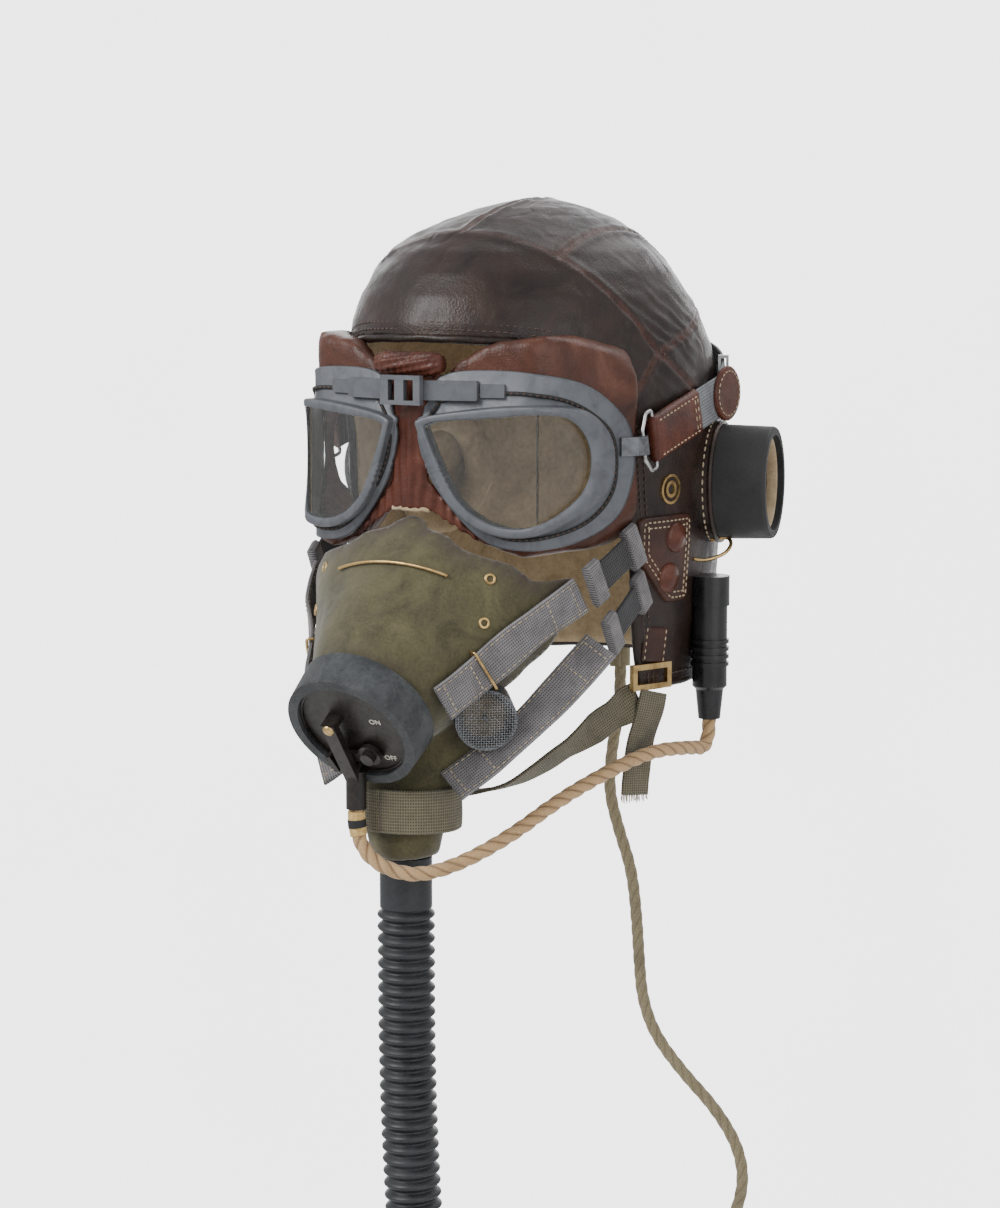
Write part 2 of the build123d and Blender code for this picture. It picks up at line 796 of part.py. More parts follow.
def bend(offset):
    """Three places on the lens seen from above: inner end, bend and outer end, moved outward."""
    first = math.radians(FRONT_PANE_DEG)
    second = math.radians(SIDE_PANE_DEG)
    inner = Vector(BRIDGE_HALF_GAP, LENS_INNER_Y, 0)
    along_front = Vector(math.cos(first), math.sin(first), 0)
    along_side = Vector(math.cos(second), math.sin(second), 0)
    out_front = Vector(math.sin(first), -math.cos(first), 0)
    out_side = Vector(math.sin(second), -math.cos(second), 0)
    corner = inner + along_front * ((PANE_EDGE_X - BRIDGE_HALF_GAP) / math.cos(first))
    shift = (out_front + out_side) * (offset / (1 + out_front.dot(out_side)))
    side_length = (LENS_OUTER_X - PANE_EDGE_X) / math.cos(second)
    tip = corner + along_side * (side_length + WALL_REACH) + out_side * offset
    root = inner - along_front * (inner.X / math.cos(first)) + out_front * offset
    root = root - along_front * (root.X / math.cos(first))
    return [root, corner + shift, tip]


def bent_wall(outer, inner):
    """The lens's bend as a wall between two offsets, tall enough for any outline."""
    front = bend(outer)
    back = bend(inner)
    points = [(spot.X, spot.Y) for spot in front + back[::-1]]
    outline = make_face(Polyline(*points, close=True))
    low = PAD_LOW_Z - OVERRUN
    return Pos(0, 0, low) * extrude(outline, PAD_HIGH_Z + OVERRUN - low)


def lens_prism(grow):
    points = spread(LENS_OUTLINE_SHARES, BRIDGE_HALF_GAP, LENS_OUTER_X, LENS_LOW_Z, LENS_HIGH_Z)
    prism_start = LENS_INNER_Y - OVERRUN
    flat = [(x, 0, z) for x, z in points]
    outline = make_face(FilletPolyline(*flat, radius=LENS_ROUND, close=True))
    if grow:
        outline = offset(outline, grow)
    return Pos(0, prism_start, 0) * extrude(outline, -prism_start, dir=(0, 1, 0))


def flange_prism():
    points = spread(
        FLANGE_OUTLINE_SHARES, FLANGE_INNER_X, FLANGE_OUTER_X, FLANGE_LOW_Z, FLANGE_HIGH_Z
    )
    return front_prism(points, LENS_ROUND, LENS_INNER_Y - OVERRUN, 0)


def make_lens():
    opening = lens_prism(0)
    pocket = lens_prism(GLASS_REBATE) & bent_wall(GLASS_THICK / 2, -GLASS_THICK / 2)
    rim = lens_prism(RIM_WIDTH) & bent_wall(RIM_FRONT, -RIM_BACK)
    flange = flange_prism() & bent_wall(FLANGE_FRONT, -RIM_BACK)
    frame = (rim + flange) - opening - pocket
    keep("goggle_frame_left", frame)
    keep("goggle_frame_right", mirrored(frame))
    half = GLASS_THICK / 2 - GLASS_CLEARANCE
    glass = lens_prism(GLASS_REBATE - GLASS_CLEARANCE) & bent_wall(half, -half)
    back, front = bend(-half)[1], bend(half)[1]
    across = Vector(0, 0, 1).cross(front - back).normalized()
    joint = Plane(origin=back, z_dir=across)
    sides = [above(glass, joint.offset(PANE_JOINT / 2)), below(glass, joint.offset(-PANE_JOINT / 2))]
    sides.sort(key=lambda pane: pane.center().X)
    keep("front_glass", Compound(children=[sides[0], mirrored(sides[0])]))
    keep("side_glass", Compound(children=[sides[1], mirrored(sides[1])]))


def swept_head():
    """The head as the goggles see it while they swing up round the strap's pivots."""
    form = head_form(-PAD_HEAD_GAP)
    pivot = Axis((0, PIVOT_Y, PIVOT_Z), (1, 0, 0))
    return [
        form.rotate(pivot, step * LIFT_MAX_DEG / LIFT_STEP_COUNT)
        for step in range(LIFT_STEP_COUNT + 1)
    ]


def nose_half(grow):
    """The left half of the nose leather, or its room in the pads when grown."""
    flat = [
        (0, 0, NOSE_TOP_Z),
        (NOSE_HALF_TOP, 0, NOSE_TOP_Z),
        (NOSE_HALF_TOP, 0, NOSE_WAIST_Z),
        (NOSE_WING_X, 0, NOSE_WING_Z),
        (NOSE_NOTCH_HALF, 0, NOSE_NOTCH_Z),
        (0, 0, NOSE_NOTCH_Z),
    ]
    outline = make_face(Polyline(*flat, close=True))
    if grow:
        outline = offset(outline, grow)
    start = LENS_INNER_Y - OVERRUN
    prism = Pos(0, start, 0) * extrude(outline, -start, dir=(0, 1, 0))
    front = RIM_BACK + SEAT_GAP
    return prism & bent_wall(-front + grow, -front - NOSE_THICK - grow)


def make_nose_leather():
    half = nose_half(0)
    keep("nose_leather", half + mirrored(half))


def make_goggle_pads():
    points = spread(PAD_OUTLINE_SHARES, PAD_INNER_X, PAD_OUTER_X, PAD_LOW_Z, PAD_HIGH_Z)
    block = front_prism(points, PAD_ROUND, LENS_INNER_Y - OVERRUN, 0)
    front = RIM_BACK + SEAT_GAP
    pad = block & bent_wall(-front, -front - PAD_DEPTH)
    pad = pad - lens_prism(PAD_BORE_MARGIN)
    pad = pad - nose_half(SOFT_GAP)
    ring_low = STRAP_THICK / 2 - WIRE_RADIUS - HOOK_THICK - WIRE_CLEARANCE - SOFT_GAP
    ring_reach = strap_run(LOOP_FRONT_Y)
    ring_width = 2 * RING_HALF_HEIGHT + PAD_ROUND
    pad = pad - strap_block(2 * ring_reach, ring_reach, ring_width, ring_low, OVERRUN + PAD_ROUND)
    for form in swept_head():
        pad = pad - form
    keep("goggle_pad_left", pad)
    keep("goggle_pad_right", mirrored(pad))


def make_bridge():
    tube_plane = Plane(origin=(0, TUBE_Y, TUBE_Z), z_dir=(1, 0, 0))
    keep("bridge_tube", rod(tube_plane, TUBE_RADIUS, -TUBE_HALF_LENGTH, TUBE_HALF_LENGTH))
    arm_back = FLANGE_FRONT + SEAT_GAP
    half = front_prism(
        [
            (ARM_INNER_X, LINK_Z - ARM_HALF_HEIGHT),
            (ARM_OUTER_X, LINK_Z - ARM_HALF_HEIGHT),
            (ARM_OUTER_X, LINK_Z + ARM_HALF_HEIGHT),
            (ARM_INNER_X, LINK_Z + ARM_HALF_HEIGHT),
        ],
        ARM_THICK / 3,
        LENS_INNER_Y - OVERRUN,
        0,
    )
    arm = half & bent_wall(arm_back + ARM_THICK, arm_back)
    plate = front_prism(
        [
            (SLIDE_PLATE_INNER_X, LINK_Z - SLIDE_PLATE_HALF_HEIGHT),
            (SLIDE_PLATE_OUTER_X, LINK_Z - SLIDE_PLATE_HALF_HEIGHT),
            (SLIDE_PLATE_OUTER_X, LINK_Z + SLIDE_PLATE_HALF_HEIGHT),
            (SLIDE_PLATE_INNER_X, LINK_Z + SLIDE_PLATE_HALF_HEIGHT),
        ],
        SLIDE_PLATE_THICK / 3,
        LENS_INNER_Y - OVERRUN,
        0,
    )
    plate = plate & bent_wall(FLANGE_FRONT + SLIDE_PLATE_THICK, FLANGE_FRONT)
    pieces = [arm, mirrored(arm), plate, mirrored(plate)]
    keep("bridge_arms", Compound(children=pieces))
    face_y = bend(arm_back)[0].Y
    link = Pos(0, face_y - LINK_THICK / 2 - ARM_THICK + LINK_SINK, LINK_Z)
    block = link * Box(2 * LINK_HALF_LENGTH, LINK_THICK, 2 * LINK_HALF_HEIGHT)
    slot = link * Pos(LINK_SLOT_X, 0, 0)
    block = block - slot * Box(LINK_SLOT_WIDTH, 2 * LINK_THICK, 2 * LINK_SLOT_HALF_HEIGHT)
    oval = link * Pos(LINK_OVAL_X, 0, 0)
    block = block - oval * Box(LINK_OVAL_WIDTH, 2 * LINK_THICK, 2 * LINK_SLOT_HALF_HEIGHT)
    keep("bridge_link", block)


def strap_frame():
    """The strap's own frame at its pivot: x along the strap toward the back, y up its width."""
    slope = math.radians(STRAP_SLOPE_DEG)
    along = (0, math.cos(slope), math.sin(slope))
    return Plane(origin=(STRAP_INNER_X, PIVOT_Y, PIVOT_Z), x_dir=along, z_dir=(1, 0, 0))


def strap_run(y):
    """Distance along the strap from its pivot to a place given by Y."""
    return (y - PIVOT_Y) / math.cos(math.radians(STRAP_SLOPE_DEG))


def strap_block(start, end, width, low, high):
    frame = strap_frame()
    middle = Pos((start + end) / 2, 0, (low + high) / 2)
    return frame * middle * Box(end - start, width, high - low)


def make_front_straps():
    front = strap_run(LOOP_FRONT_Y)
    back = strap_run(LOOP_BACK_Y)
    frame = strap_frame()
    elastic = strap_block(back - LOOP_SLOT_DEPTH, 0, STRAP_WIDTH, 0, STRAP_THICK)
    elastic = elastic + rod(frame, STRAP_END_RADIUS, 0, STRAP_THICK)
    middle = STRAP_THICK / 2
    low = middle - LOOP_THICK / 2
    high = middle + LOOP_THICK / 2
    loop = strap_block(front, back, STRAP_WIDTH + LOOP_THICK / 2, low, high)
    slot_end = back - LOOP_SLOT_DEPTH
    loop = loop - strap_block(
        slot_end - SEAT_GAP, back, STRAP_WIDTH + SEAT_GAP, -SEAT_GAP / 2, STRAP_THICK + SEAT_GAP / 2
    )
    leg = frame * Pos(front + RING_LEG_INSET, 0, middle)
    tall = 2 * RING_HALF_HEIGHT + 2 * OVERRUN
    eye = leg * Rot(90, 0, 0) * Cylinder(WIRE_RADIUS + WIRE_CLEARANCE, tall)
    loop = loop - eye
    half_bow = RING_HALF_HEIGHT * RING_BOW_SHARE
    shoulder = front - 2 * WIRE_RADIUS
    corners = [
        (front + RING_LEG_INSET, -RING_HALF_HEIGHT),
        (front + RING_LEG_INSET, RING_HALF_HEIGHT),
        (shoulder, RING_HALF_HEIGHT),
        (front + RING_LEG_INSET - RING_BOW, half_bow),
        (front + RING_LEG_INSET - RING_BOW, -half_bow),
        (shoulder, -RING_HALF_HEIGHT),
    ]
    wire = FilletPolyline(*corners, radius=WIRE_BEND_RADIUS, close=True)
    path = frame.offset(middle) * wire
    start = Plane(origin=path @ RING_START_SHARE, z_dir=path % RING_START_SHARE)
    ring = sweep(start * Circle(WIRE_RADIUS), path=path)
    keep("strap_elastics", Compound(children=[elastic, mirrored(elastic)]))
    keep("strap_loops", Compound(children=[loop, mirrored(loop)]))
    keep("wire_rings", Compound(children=[ring, mirrored(ring)]))


def make_rear_strap():
    frame = strap_frame()
    tall = 2 * (HALF_DEPTH + OVERRUN)
    outer = Ellipse(REAR_STRAP_HALF_WIDTH, REAR_STRAP_HALF_DEPTH)
    inner = Ellipse(REAR_STRAP_HALF_WIDTH - STRAP_THICK, REAR_STRAP_HALF_DEPTH - STRAP_THICK)
    band = extrude(outer - inner, tall / 2, both=True)
    slab = strap_block(strap_run(REAR_STRAP_START_Y), tall, STRAP_WIDTH, -tall, tall)
    keep("rear_strap", band & slab)
    disc = rod(frame, PATCH_RADIUS, STRAP_THICK + SOFT_GAP, STRAP_THICK + SOFT_GAP + PATCH_THICK)
    keep("strap_patches", Compound(children=[disc, mirrored(disc)]))
    x = REAR_STRAP_HALF_WIDTH * math.sqrt(1 - (SLIDER_Y / REAR_STRAP_HALF_DEPTH) ** 2)
    normal_x = x / REAR_STRAP_HALF_WIDTH ** 2
    normal_y = SLIDER_Y / REAR_STRAP_HALF_DEPTH ** 2
    height = PIVOT_Z + (SLIDER_Y - PIVOT_Y) * math.tan(math.radians(STRAP_SLOPE_DEG))
    place = Plane(origin=(x, SLIDER_Y, height), x_dir=(0, 0, 1), z_dir=(normal_x, normal_y, 0))
    window = STRAP_THICK + 2 * SLIDER_CLEARANCE
    ring = Box(2 * SLIDER_HALF_HEIGHT, SLIDER_WIDTH, window + 2 * SLIDER_BAR)
    ring = ring - Box(STRAP_WIDTH + 4 * SLIDER_CLEARANCE, 2 * SLIDER_WIDTH, window)
    slider = place * Pos(0, 0, -STRAP_THICK / 2) * ring
    keep("strap_sliders", Compound(children=[slider, mirrored(slider)]))


def make_hooks():
    """The sheet metal hooks on the outer ends of the lens frames."""
    flange_end = bend(-RIM_BACK)[2]
    side = math.radians(SIDE_PANE_DEG)
    along = Vector(math.cos(side), math.sin(side), 0)
    edge = flange_end - along * ((flange_end.X - FLANGE_OUTER_X) / along.X)
    bow = strap_frame().from_local_coords(
        Vector(strap_run(LOOP_FRONT_Y) + RING_LEG_INSET - RING_BOW, 0, STRAP_THICK / 2)
    )
    out = Vector(along.Y, -along.X, 0)
    root = edge - along * (2 * RIM_WIDTH) + out * (RIM_BACK + FLANGE_FRONT + SEAT_GAP + HOOK_THICK / 2)
    tip = Vector(bow.X + WIRE_RADIUS + WIRE_CLEARANCE + HOOK_THICK / 2, bow.Y, 0)
    turn = Vector(edge.X, edge.Y, 0) + out * (RIM_BACK + FLANGE_FRONT + SEAT_GAP + HOOK_THICK / 2)
    up = strap_frame().y_dir
    points = [(spot.X, spot.Y, bow.Z) for spot in [root, turn, tip]]
    sides = [(0, 0, 1), (0, 0, 1), (up.X, up.Y, up.Z)]
    hook = ribbon(points, sides, 2 * HOOK_HALF_HEIGHT, HOOK_THICK)
    eye = Plane(origin=bow, z_dir=up)
    radius = WIRE_RADIUS + WIRE_CLEARANCE
    curl = rod(eye, radius + HOOK_THICK, -HOOK_HALF_HEIGHT, HOOK_HALF_HEIGHT)
    hook = (hook + curl) - rod(eye, radius, -2 * HOOK_HALF_HEIGHT, 2 * HOOK_HALF_HEIGHT)
    keep("strap_hooks", Compound(children=[hook, mirrored(hook)]))


# The mask and its microphone

def mic_plane():
    drop = math.radians(MIC_DROP_DEG)
    normal = (0, -math.cos(drop), -math.sin(drop))
    return Plane(origin=(0, MIC_Y, MIC_Z), x_dir=(1, 0, 0), z_dir=normal)


def egg(half, up, down):
    """An oval with different rises above and below its widest line."""
    upper = EllipticalCenterArc((0, 0), half, up, start_angle=0, arc_size=HALF_TURN)
    lower = EllipticalCenterArc((0, 0), half, down, start_angle=HALF_TURN, arc_size=HALF_TURN)
    return make_face(upper + lower)


def mask_form(inset):
    plane = mic_plane()
    levels = [
        (MASK_FRONT_DEPTH, MASK_FRONT_RADIUS, MASK_FRONT_RADIUS, MASK_FRONT_RADIUS),
        (MASK_MID_DEPTH, MASK_MID_HALF, MASK_MID_UP, MASK_MID_DOWN),
        (MASK_CHEEK_DEPTH, MASK_CHEEK_HALF, MASK_CHEEK_UP, MASK_CHEEK_DOWN),
        (MASK_REAR_DEPTH, MASK_REAR_HALF, MASK_REAR_UP, MASK_REAR_DOWN),
    ]
    sections = []
    for depth, half, up, down in levels:
        sections.append(plane.offset(-depth) * egg(half - inset, up - inset, down - inset))
    nose = loft(sections, ruled=True)
    chin = Pos(0, CHIN_TOP_Y, CHIN_TOP_Z) * Ellipse(CHIN_TOP_HALF_X - inset, CHIN_TOP_HALF_Y - inset)
    throat = Ellipse(SPOUT_TOP_HALF_X - inset, SPOUT_TOP_HALF_Y - inset)
    pouch = loft([chin, Pos(0, SPOUT_Y, SPOUT_TOP_Z) * throat], ruled=True)
    return nose + pouch


def spout_plane(z):
    return Plane(origin=(0, SPOUT_Y, z))


def valve_plane():
    out = math.radians(VALVE_OUT_DEG)
    drop = math.radians(VALVE_DROP_DEG)
    normal = (math.sin(out) * math.cos(drop), -math.cos(out) * math.cos(drop), -math.sin(drop))
    return Plane(origin=(VALVE_X, VALVE_Y, VALVE_Z), x_dir=(0, 0, 1), z_dir=normal)


def valve_room():
    return rod(valve_plane(), VALVE_RADIUS + SEAT_GAP, -VALVE_LENGTH, OVERRUN)


def make_mask():
    plane = mic_plane()
    solid = mask_form(0)
    throat = Ellipse(SPOUT_TOP_HALF_X, SPOUT_TOP_HALF_Y)
    mouth = spout_plane(SPOUT_LOW_Z) * Circle(SPOUT_LOW_RADIUS)
    spout = loft([Pos(0, SPOUT_Y, SPOUT_TOP_Z) * throat, mouth], ruled=True)
    shell = (solid + spout) - mask_form(MASK_WALL)
    shell = shell - rod(plane, MASK_FRONT_RADIUS - MASK_WALL, -MASK_MID_DEPTH, 0)
    shell = shell - rod(spout_plane(0), SPOUT_BORE_RADIUS, SPOUT_LOW_Z, CHIN_TOP_Z)
    face = Ellipse(MASK_FACE_HALF_WIDTH, MASK_FACE_HALF_DEPTH)
    shell = shell - Pos(0, 0, MASK_FACE_LOW_Z) * extrude(face, -MASK_FACE_LOW_Z + OVERRUN)
    shell = shell - valve_room()
    shell = shell - rod(plane, RING_BACK_RADIUS + SEAT_GAP, -MASK_FRONT_DEPTH, OVERRUN)
    top = [(x, z) for x, z in MASK_TOP_OUTLINE] + [(-x, z) for x, z in MASK_TOP_OUTLINE[::-1]]
    flat = [(x, 0, z) for x, z in top]
    goggle_room = extrude(make_face(Polyline(*flat, close=True)), -MIC_Y, dir=(0, -1, 0))
    shell = shell - goggle_room
    keep("mask_shell", max(shell.solids(), key=lambda solid: solid.volume))


def make_mic():
    plane = mic_plane()
    ring = cone(plane, RING_BACK_RADIUS, RING_LIP_RADIUS, -MASK_FRONT_DEPTH + SEAT_GAP, RING_LIP_PROUD)
    ring = ring - rod(plane, MIC_RADIUS + SEAT_GAP, -MASK_FRONT_DEPTH, OVERRUN)
    keep("mic_ring", ring)
    housing = rod(plane, MIC_RADIUS, -MIC_LENGTH, 0)
    housing = housing - rod(plane, MIC_RADIUS - MIC_WALL, -MIC_LENGTH, -MIC_WALL - MIC_FACE_DISH)
    housing = housing - rod(plane, MIC_FACE_DISH_RADIUS, -MIC_FACE_DISH, 0)
    spindle = plane * Pos(SPINDLE_X, SPINDLE_UP, 0)
    top = SPINDLE_HEIGHT
    housing = housing + spindle * rod(Plane.XY, SPINDLE_RADIUS, -MIC_FACE_DISH, top)
    keep("mic_housing", housing)
    start = -MIC_WALL - MIC_FACE_DISH - SEAT_GAP
    keep("mic_capsule", rod(plane, MIC_CAPSULE_RADIUS, start - MIC_CAPSULE_LENGTH, start))
    make_cover(plane)
    make_switch(plane)


def make_cover(plane):
    """The terminal cover bridges the face and carries the cord's outlet."""
    length = COVER_TOP - COVER_BOTTOM
    middle = (COVER_TOP + COVER_BOTTOM) / 2
    rise = COVER_HEIGHT - COVER_LIFT
    bar = Pos(COVER_X, middle, COVER_LIFT + rise / 2) * Box(2 * COVER_HALF_WIDTH, length, rise)
    foot_height = COVER_HEIGHT + MIC_FACE_DISH
    foot = Box(2 * COVER_HALF_WIDTH, COVER_FOOT, foot_height)
    up = Pos(COVER_X, COVER_TOP - COVER_FOOT / 2, COVER_HEIGHT - foot_height / 2)
    low = Pos(COVER_X, COVER_LOW_FOOT, COVER_HEIGHT - foot_height / 2)
    cover = plane * (bar + up * foot + low * foot)
    outlet = Plane(origin=(COVER_X, OUTLET_Y, OUTLET_Z))
    cover = cover + rod(outlet, COVER_SNOUT_RADIUS, 0, OUTLET_LENGTH)
    lip = rod(plane, RING_LIP_RADIUS + SEAT_GAP, -OVERRUN, RING_LIP_PROUD + SEAT_GAP)
    lip = lip - rod(plane, MIC_RADIUS - SEAT_GAP, -OVERRUN, OVERRUN)
    keep("terminal_cover", cover - lip)


def make_switch(plane):
    """The ON and OFF lever turns on the spindle and passes under the terminal cover."""
    low = SEAT_GAP
    hub = plane * Pos(SPINDLE_X, SPINDLE_UP, 0) * Rot(0, 0, SWITCH_REST_DEG)
    arm = Pos(SWITCH_ARM_LENGTH / 2, 0, low + SWITCH_ARM_THICK / 2)
    lever = arm * Box(SWITCH_ARM_LENGTH, 2 * SWITCH_ARM_HALF, SWITCH_ARM_THICK)
    lever = lever + rod(Plane.XY, SWITCH_HUB_RADIUS, low, low + SWITCH_ARM_THICK)
    grip = Pos(SWITCH_ARM_LENGTH, 0, low + SWITCH_GRIP_HEIGHT / 2)
    lever = lever + grip * Box(SWITCH_GRIP_THICK, SWITCH_GRIP_LENGTH, SWITCH_GRIP_HEIGHT)
    pitch = SWITCH_GRIP_LENGTH / SWITCH_TOOTH_COUNT
    for index in range(SWITCH_TOOTH_COUNT):
        along = -SWITCH_GRIP_LENGTH / 2 + pitch * (index + 0.5)
        tooth = Pos(SWITCH_ARM_LENGTH + SWITCH_GRIP_THICK / 2, along, low + SWITCH_GRIP_HEIGHT / 2)
        lever = lever + tooth * Box(SWITCH_TOOTH, pitch / 2, SWITCH_GRIP_HEIGHT)
    lever = lever - rod(Plane.XY, SPINDLE_RADIUS + SWITCH_PIVOT_CLEARANCE, -OVERRUN, OVERRUN)
    keep("switch_lever", hub * lever)


def make_exhaust():
    plane = valve_plane()
    bore = VALVE_RADIUS - VALVE_WALL
    housing = rod(plane, VALVE_RADIUS, -VALVE_LENGTH, 0) - rod(plane, bore, -VALVE_LENGTH, 0)
    seat_top = -VALVE_SEAT_DEPTH
    seat = rod(plane, bore, seat_top - VALVE_SEAT_THICK, seat_top)
    seat = seat - rod(plane, VALVE_SEAT_RADIUS, seat_top - VALVE_SEAT_THICK, seat_top)
    bar = plane * Pos(0, 0, seat_top - VALVE_SEAT_THICK / 2)
    seat = seat + bar * Box(2 * bore, 2 * VALVE_STEM_RADIUS, VALVE_SEAT_THICK)
    stem = rod(plane, VALVE_STEM_RADIUS, seat_top - VALVE_SEAT_THICK, seat_top + VALVE_STEM_LENGTH)
    keep("exhaust_housing", housing + seat + stem)
    disc = rod(plane, VALVE_DISC_RADIUS, seat_top, seat_top + VALVE_DISC_THICK)
    stem_room = VALVE_STEM_RADIUS + VALVE_STEM_CLEARANCE
    disc = disc - rod(plane, stem_room, seat_top, seat_top + VALVE_DISC_THICK)
    keep("exhaust_disc", Pos(plane.z_dir * VALVE_DISC_LIFT) * disc)
    net = Circle(VALVE_RADIUS)
    hole = MESH_PITCH - MESH_WIRE
    count = int(VALVE_RADIUS / MESH_PITCH)
    for column in range(-count, count + 1):
        for row in range(-count, count + 1):
            reach = MESH_PITCH * math.hypot(column, row) + hole
            if reach < VALVE_RADIUS - MESH_EDGE:
                net = net - Pos(column * MESH_PITCH, row * MESH_PITCH) * Rectangle(hole, hole)
    keep("exhaust_mesh", extrude(plane * net, MESH_THICK))


def make_inlet():
    top = INLET_SEAT_Z + INLET_SEAT_THICK
    plane = spout_plane(0)
    outer = SPOUT_BORE_RADIUS
    seat = rod(plane, outer, INLET_SEAT_Z, top) - rod(plane, INLET_PORT_RADIUS, INLET_SEAT_Z, top)
    middle = (top + INLET_SEAT_Z) / 2
    bar = Pos(0, SPOUT_Y, middle) * Box(2 * INLET_PORT_RADIUS, 2 * VALVE_STEM_RADIUS, INLET_SEAT_THICK)
    stem = rod(plane, VALVE_STEM_RADIUS, INLET_SEAT_Z, top + VALVE_STEM_LENGTH)
    keep("inlet_seat", seat + bar + stem)
    low = top + VALVE_DISC_LIFT
    disc = rod(plane, INLET_DISC_RADIUS, low, low + INLET_DISC_THICK)
    stem_room = VALVE_STEM_RADIUS + VALVE_STEM_CLEARANCE
    keep("inlet_disc", disc - rod(plane, stem_room, low, low + INLET_DISC_THICK))


def make_nose_wire():
    """The brass wire that shapes the mask over the nose."""
    share = (NOSE_WIRE_DEPTH - MASK_MID_DEPTH) / (MASK_CHEEK_DEPTH - MASK_MID_DEPTH)
    grow = NOSE_WIRE_RADIUS + SOFT_GAP
    half = MASK_MID_HALF + share * (MASK_CHEEK_HALF - MASK_MID_HALF) + grow
    up = MASK_MID_UP + share * (MASK_CHEEK_UP - MASK_MID_UP) + grow
    start = HALF_TURN / 2 - NOSE_WIRE_SWEEP_DEG / 2
    arc = EllipticalCenterArc((0, 0), half, up, start_angle=start, arc_size=NOSE_WIRE_SWEEP_DEG)
    path = mic_plane().offset(-NOSE_WIRE_DEPTH) * arc
    section = Plane(origin=path @ 0, z_dir=path % 0)
    keep("nose_wire", sweep(section * Circle(NOSE_WIRE_RADIUS), path=path))


# Hose, cords and plugs

def make_hose():
    path = route_path(HOSE_ROUTE, "hose")
    length = path.length
    cuff = HOSE_CUFF_LENGTH
    pitch = (length - 2 * cuff) / HOSE_RIB_COUNT
    marks = [(0, HOSE_CUFF_RADIUS), (cuff - pitch * RIB_TOP_SHARE, HOSE_CUFF_RADIUS)]
    for index in range(HOSE_RIB_COUNT):
        start = cuff + index * pitch
        rise = start + pitch * RIB_RISE_SHARE
        fall = rise + pitch * RIB_TOP_SHARE
        marks.append((start, HOSE_ROOT_RADIUS))
        marks.append((rise, HOSE_CREST_RADIUS))
        marks.append((fall, HOSE_CREST_RADIUS))
        marks.append((fall + pitch * RIB_RISE_SHARE, HOSE_ROOT_RADIUS))
    marks.append((length - cuff + pitch * RIB_TOP_SHARE, HOSE_CUFF_RADIUS))
    marks.append((length, HOSE_CUFF_RADIUS))
    sections = []
    for place, radius in marks:
        share = place / length
        plane = Plane(origin=path @ share, x_dir=(1, 0, 0), z_dir=path % share)
        sections.append(plane * Circle(radius))
    body = loft(sections, ruled=True)
    start = Plane(origin=path @ 0, x_dir=(1, 0, 0), z_dir=path % 0)
    bore = sweep(start * Circle(HOSE_BORE_RADIUS), path=path)
    hose = body - bore
    print("hose length", round(length, 1), "rib pitch", round(pitch, 2), "volume", round(hose.volume))
    keep("breathing_hose", hose)


def make_connector():
    x, y, z = HOSE_ROUTE[-1]
    plane = Plane(origin=(x, y, z), z_dir=(0, 0, -1))
    body = rod(plane, CONNECTOR_RADIUS, 0, CONNECTOR_LENGTH)
    body = body + rod(plane, CONNECTOR_FLANGE_RADIUS, 0, CONNECTOR_FLANGE_LENGTH)
    body = body - rod(plane, CONNECTOR_BORE_RADIUS, 0, CONNECTOR_LENGTH)
    pin_plane = Plane(origin=(x, y, z - CONNECTOR_LENGTH + CONNECTOR_SPIGOT / 2), z_dir=(1, 0, 0))
    reach = CONNECTOR_RADIUS + BAYONET_PIN_REACH
    pin = rod(pin_plane, BAYONET_PIN_RADIUS, -reach, reach)
    middle = (CONNECTOR_RADIUS + CONNECTOR_BORE_RADIUS) / 2
    pin = pin - rod(pin_plane, 2 * BAYONET_PIN_RADIUS, -middle, middle)
    keep("hose_connector", body + pin)


def make_jack():
    top = Plane(origin=(PLUG_X, PLUG_Y, PLUG_TOP_Z))
    socket = rod(top, SOCKET_RADIUS, 0, SOCKET_LENGTH)
    height = PLUG_TOP_Z + SOCKET_LENGTH / 2
    bracket = Pos(PLUG_X - SOCKET_BRACKET_REACH / 2, PLUG_Y, height)
    arm = bracket * Box(SOCKET_BRACKET_REACH, 2 * SOCKET_BRACKET_HALF, SOCKET_LENGTH)
    keep("jack_socket", (socket + arm) - head_form(-SEAT_GAP))
    down = Plane(origin=(PLUG_X, PLUG_Y, PLUG_TOP_Z), z_dir=(0, 0, -1))
    end = PLUG_BARREL_LENGTH
    shoulder = end - PLUG_RADIUS + PLUG_NECK_RADIUS
    plug = rod(down, PLUG_RADIUS, 0, shoulder) + cone(down, PLUG_RADIUS, PLUG_NECK_RADIUS, shoulder, end)
    plug = plug + cone(down, PLUG_NECK_RADIUS, PLUG_BOOT_RADIUS, end, end + PLUG_BOOT_LENGTH)
    for index in range(PLUG_RIB_COUNT):
        start = PLUG_RIB_START + index * PLUG_RIB_PITCH
        plug = plug + rod(down, PLUG_RADIUS + PLUG_RIB_PROUD, start, start + PLUG_RIB_WIDTH)
    keep("jack_plug", plug)


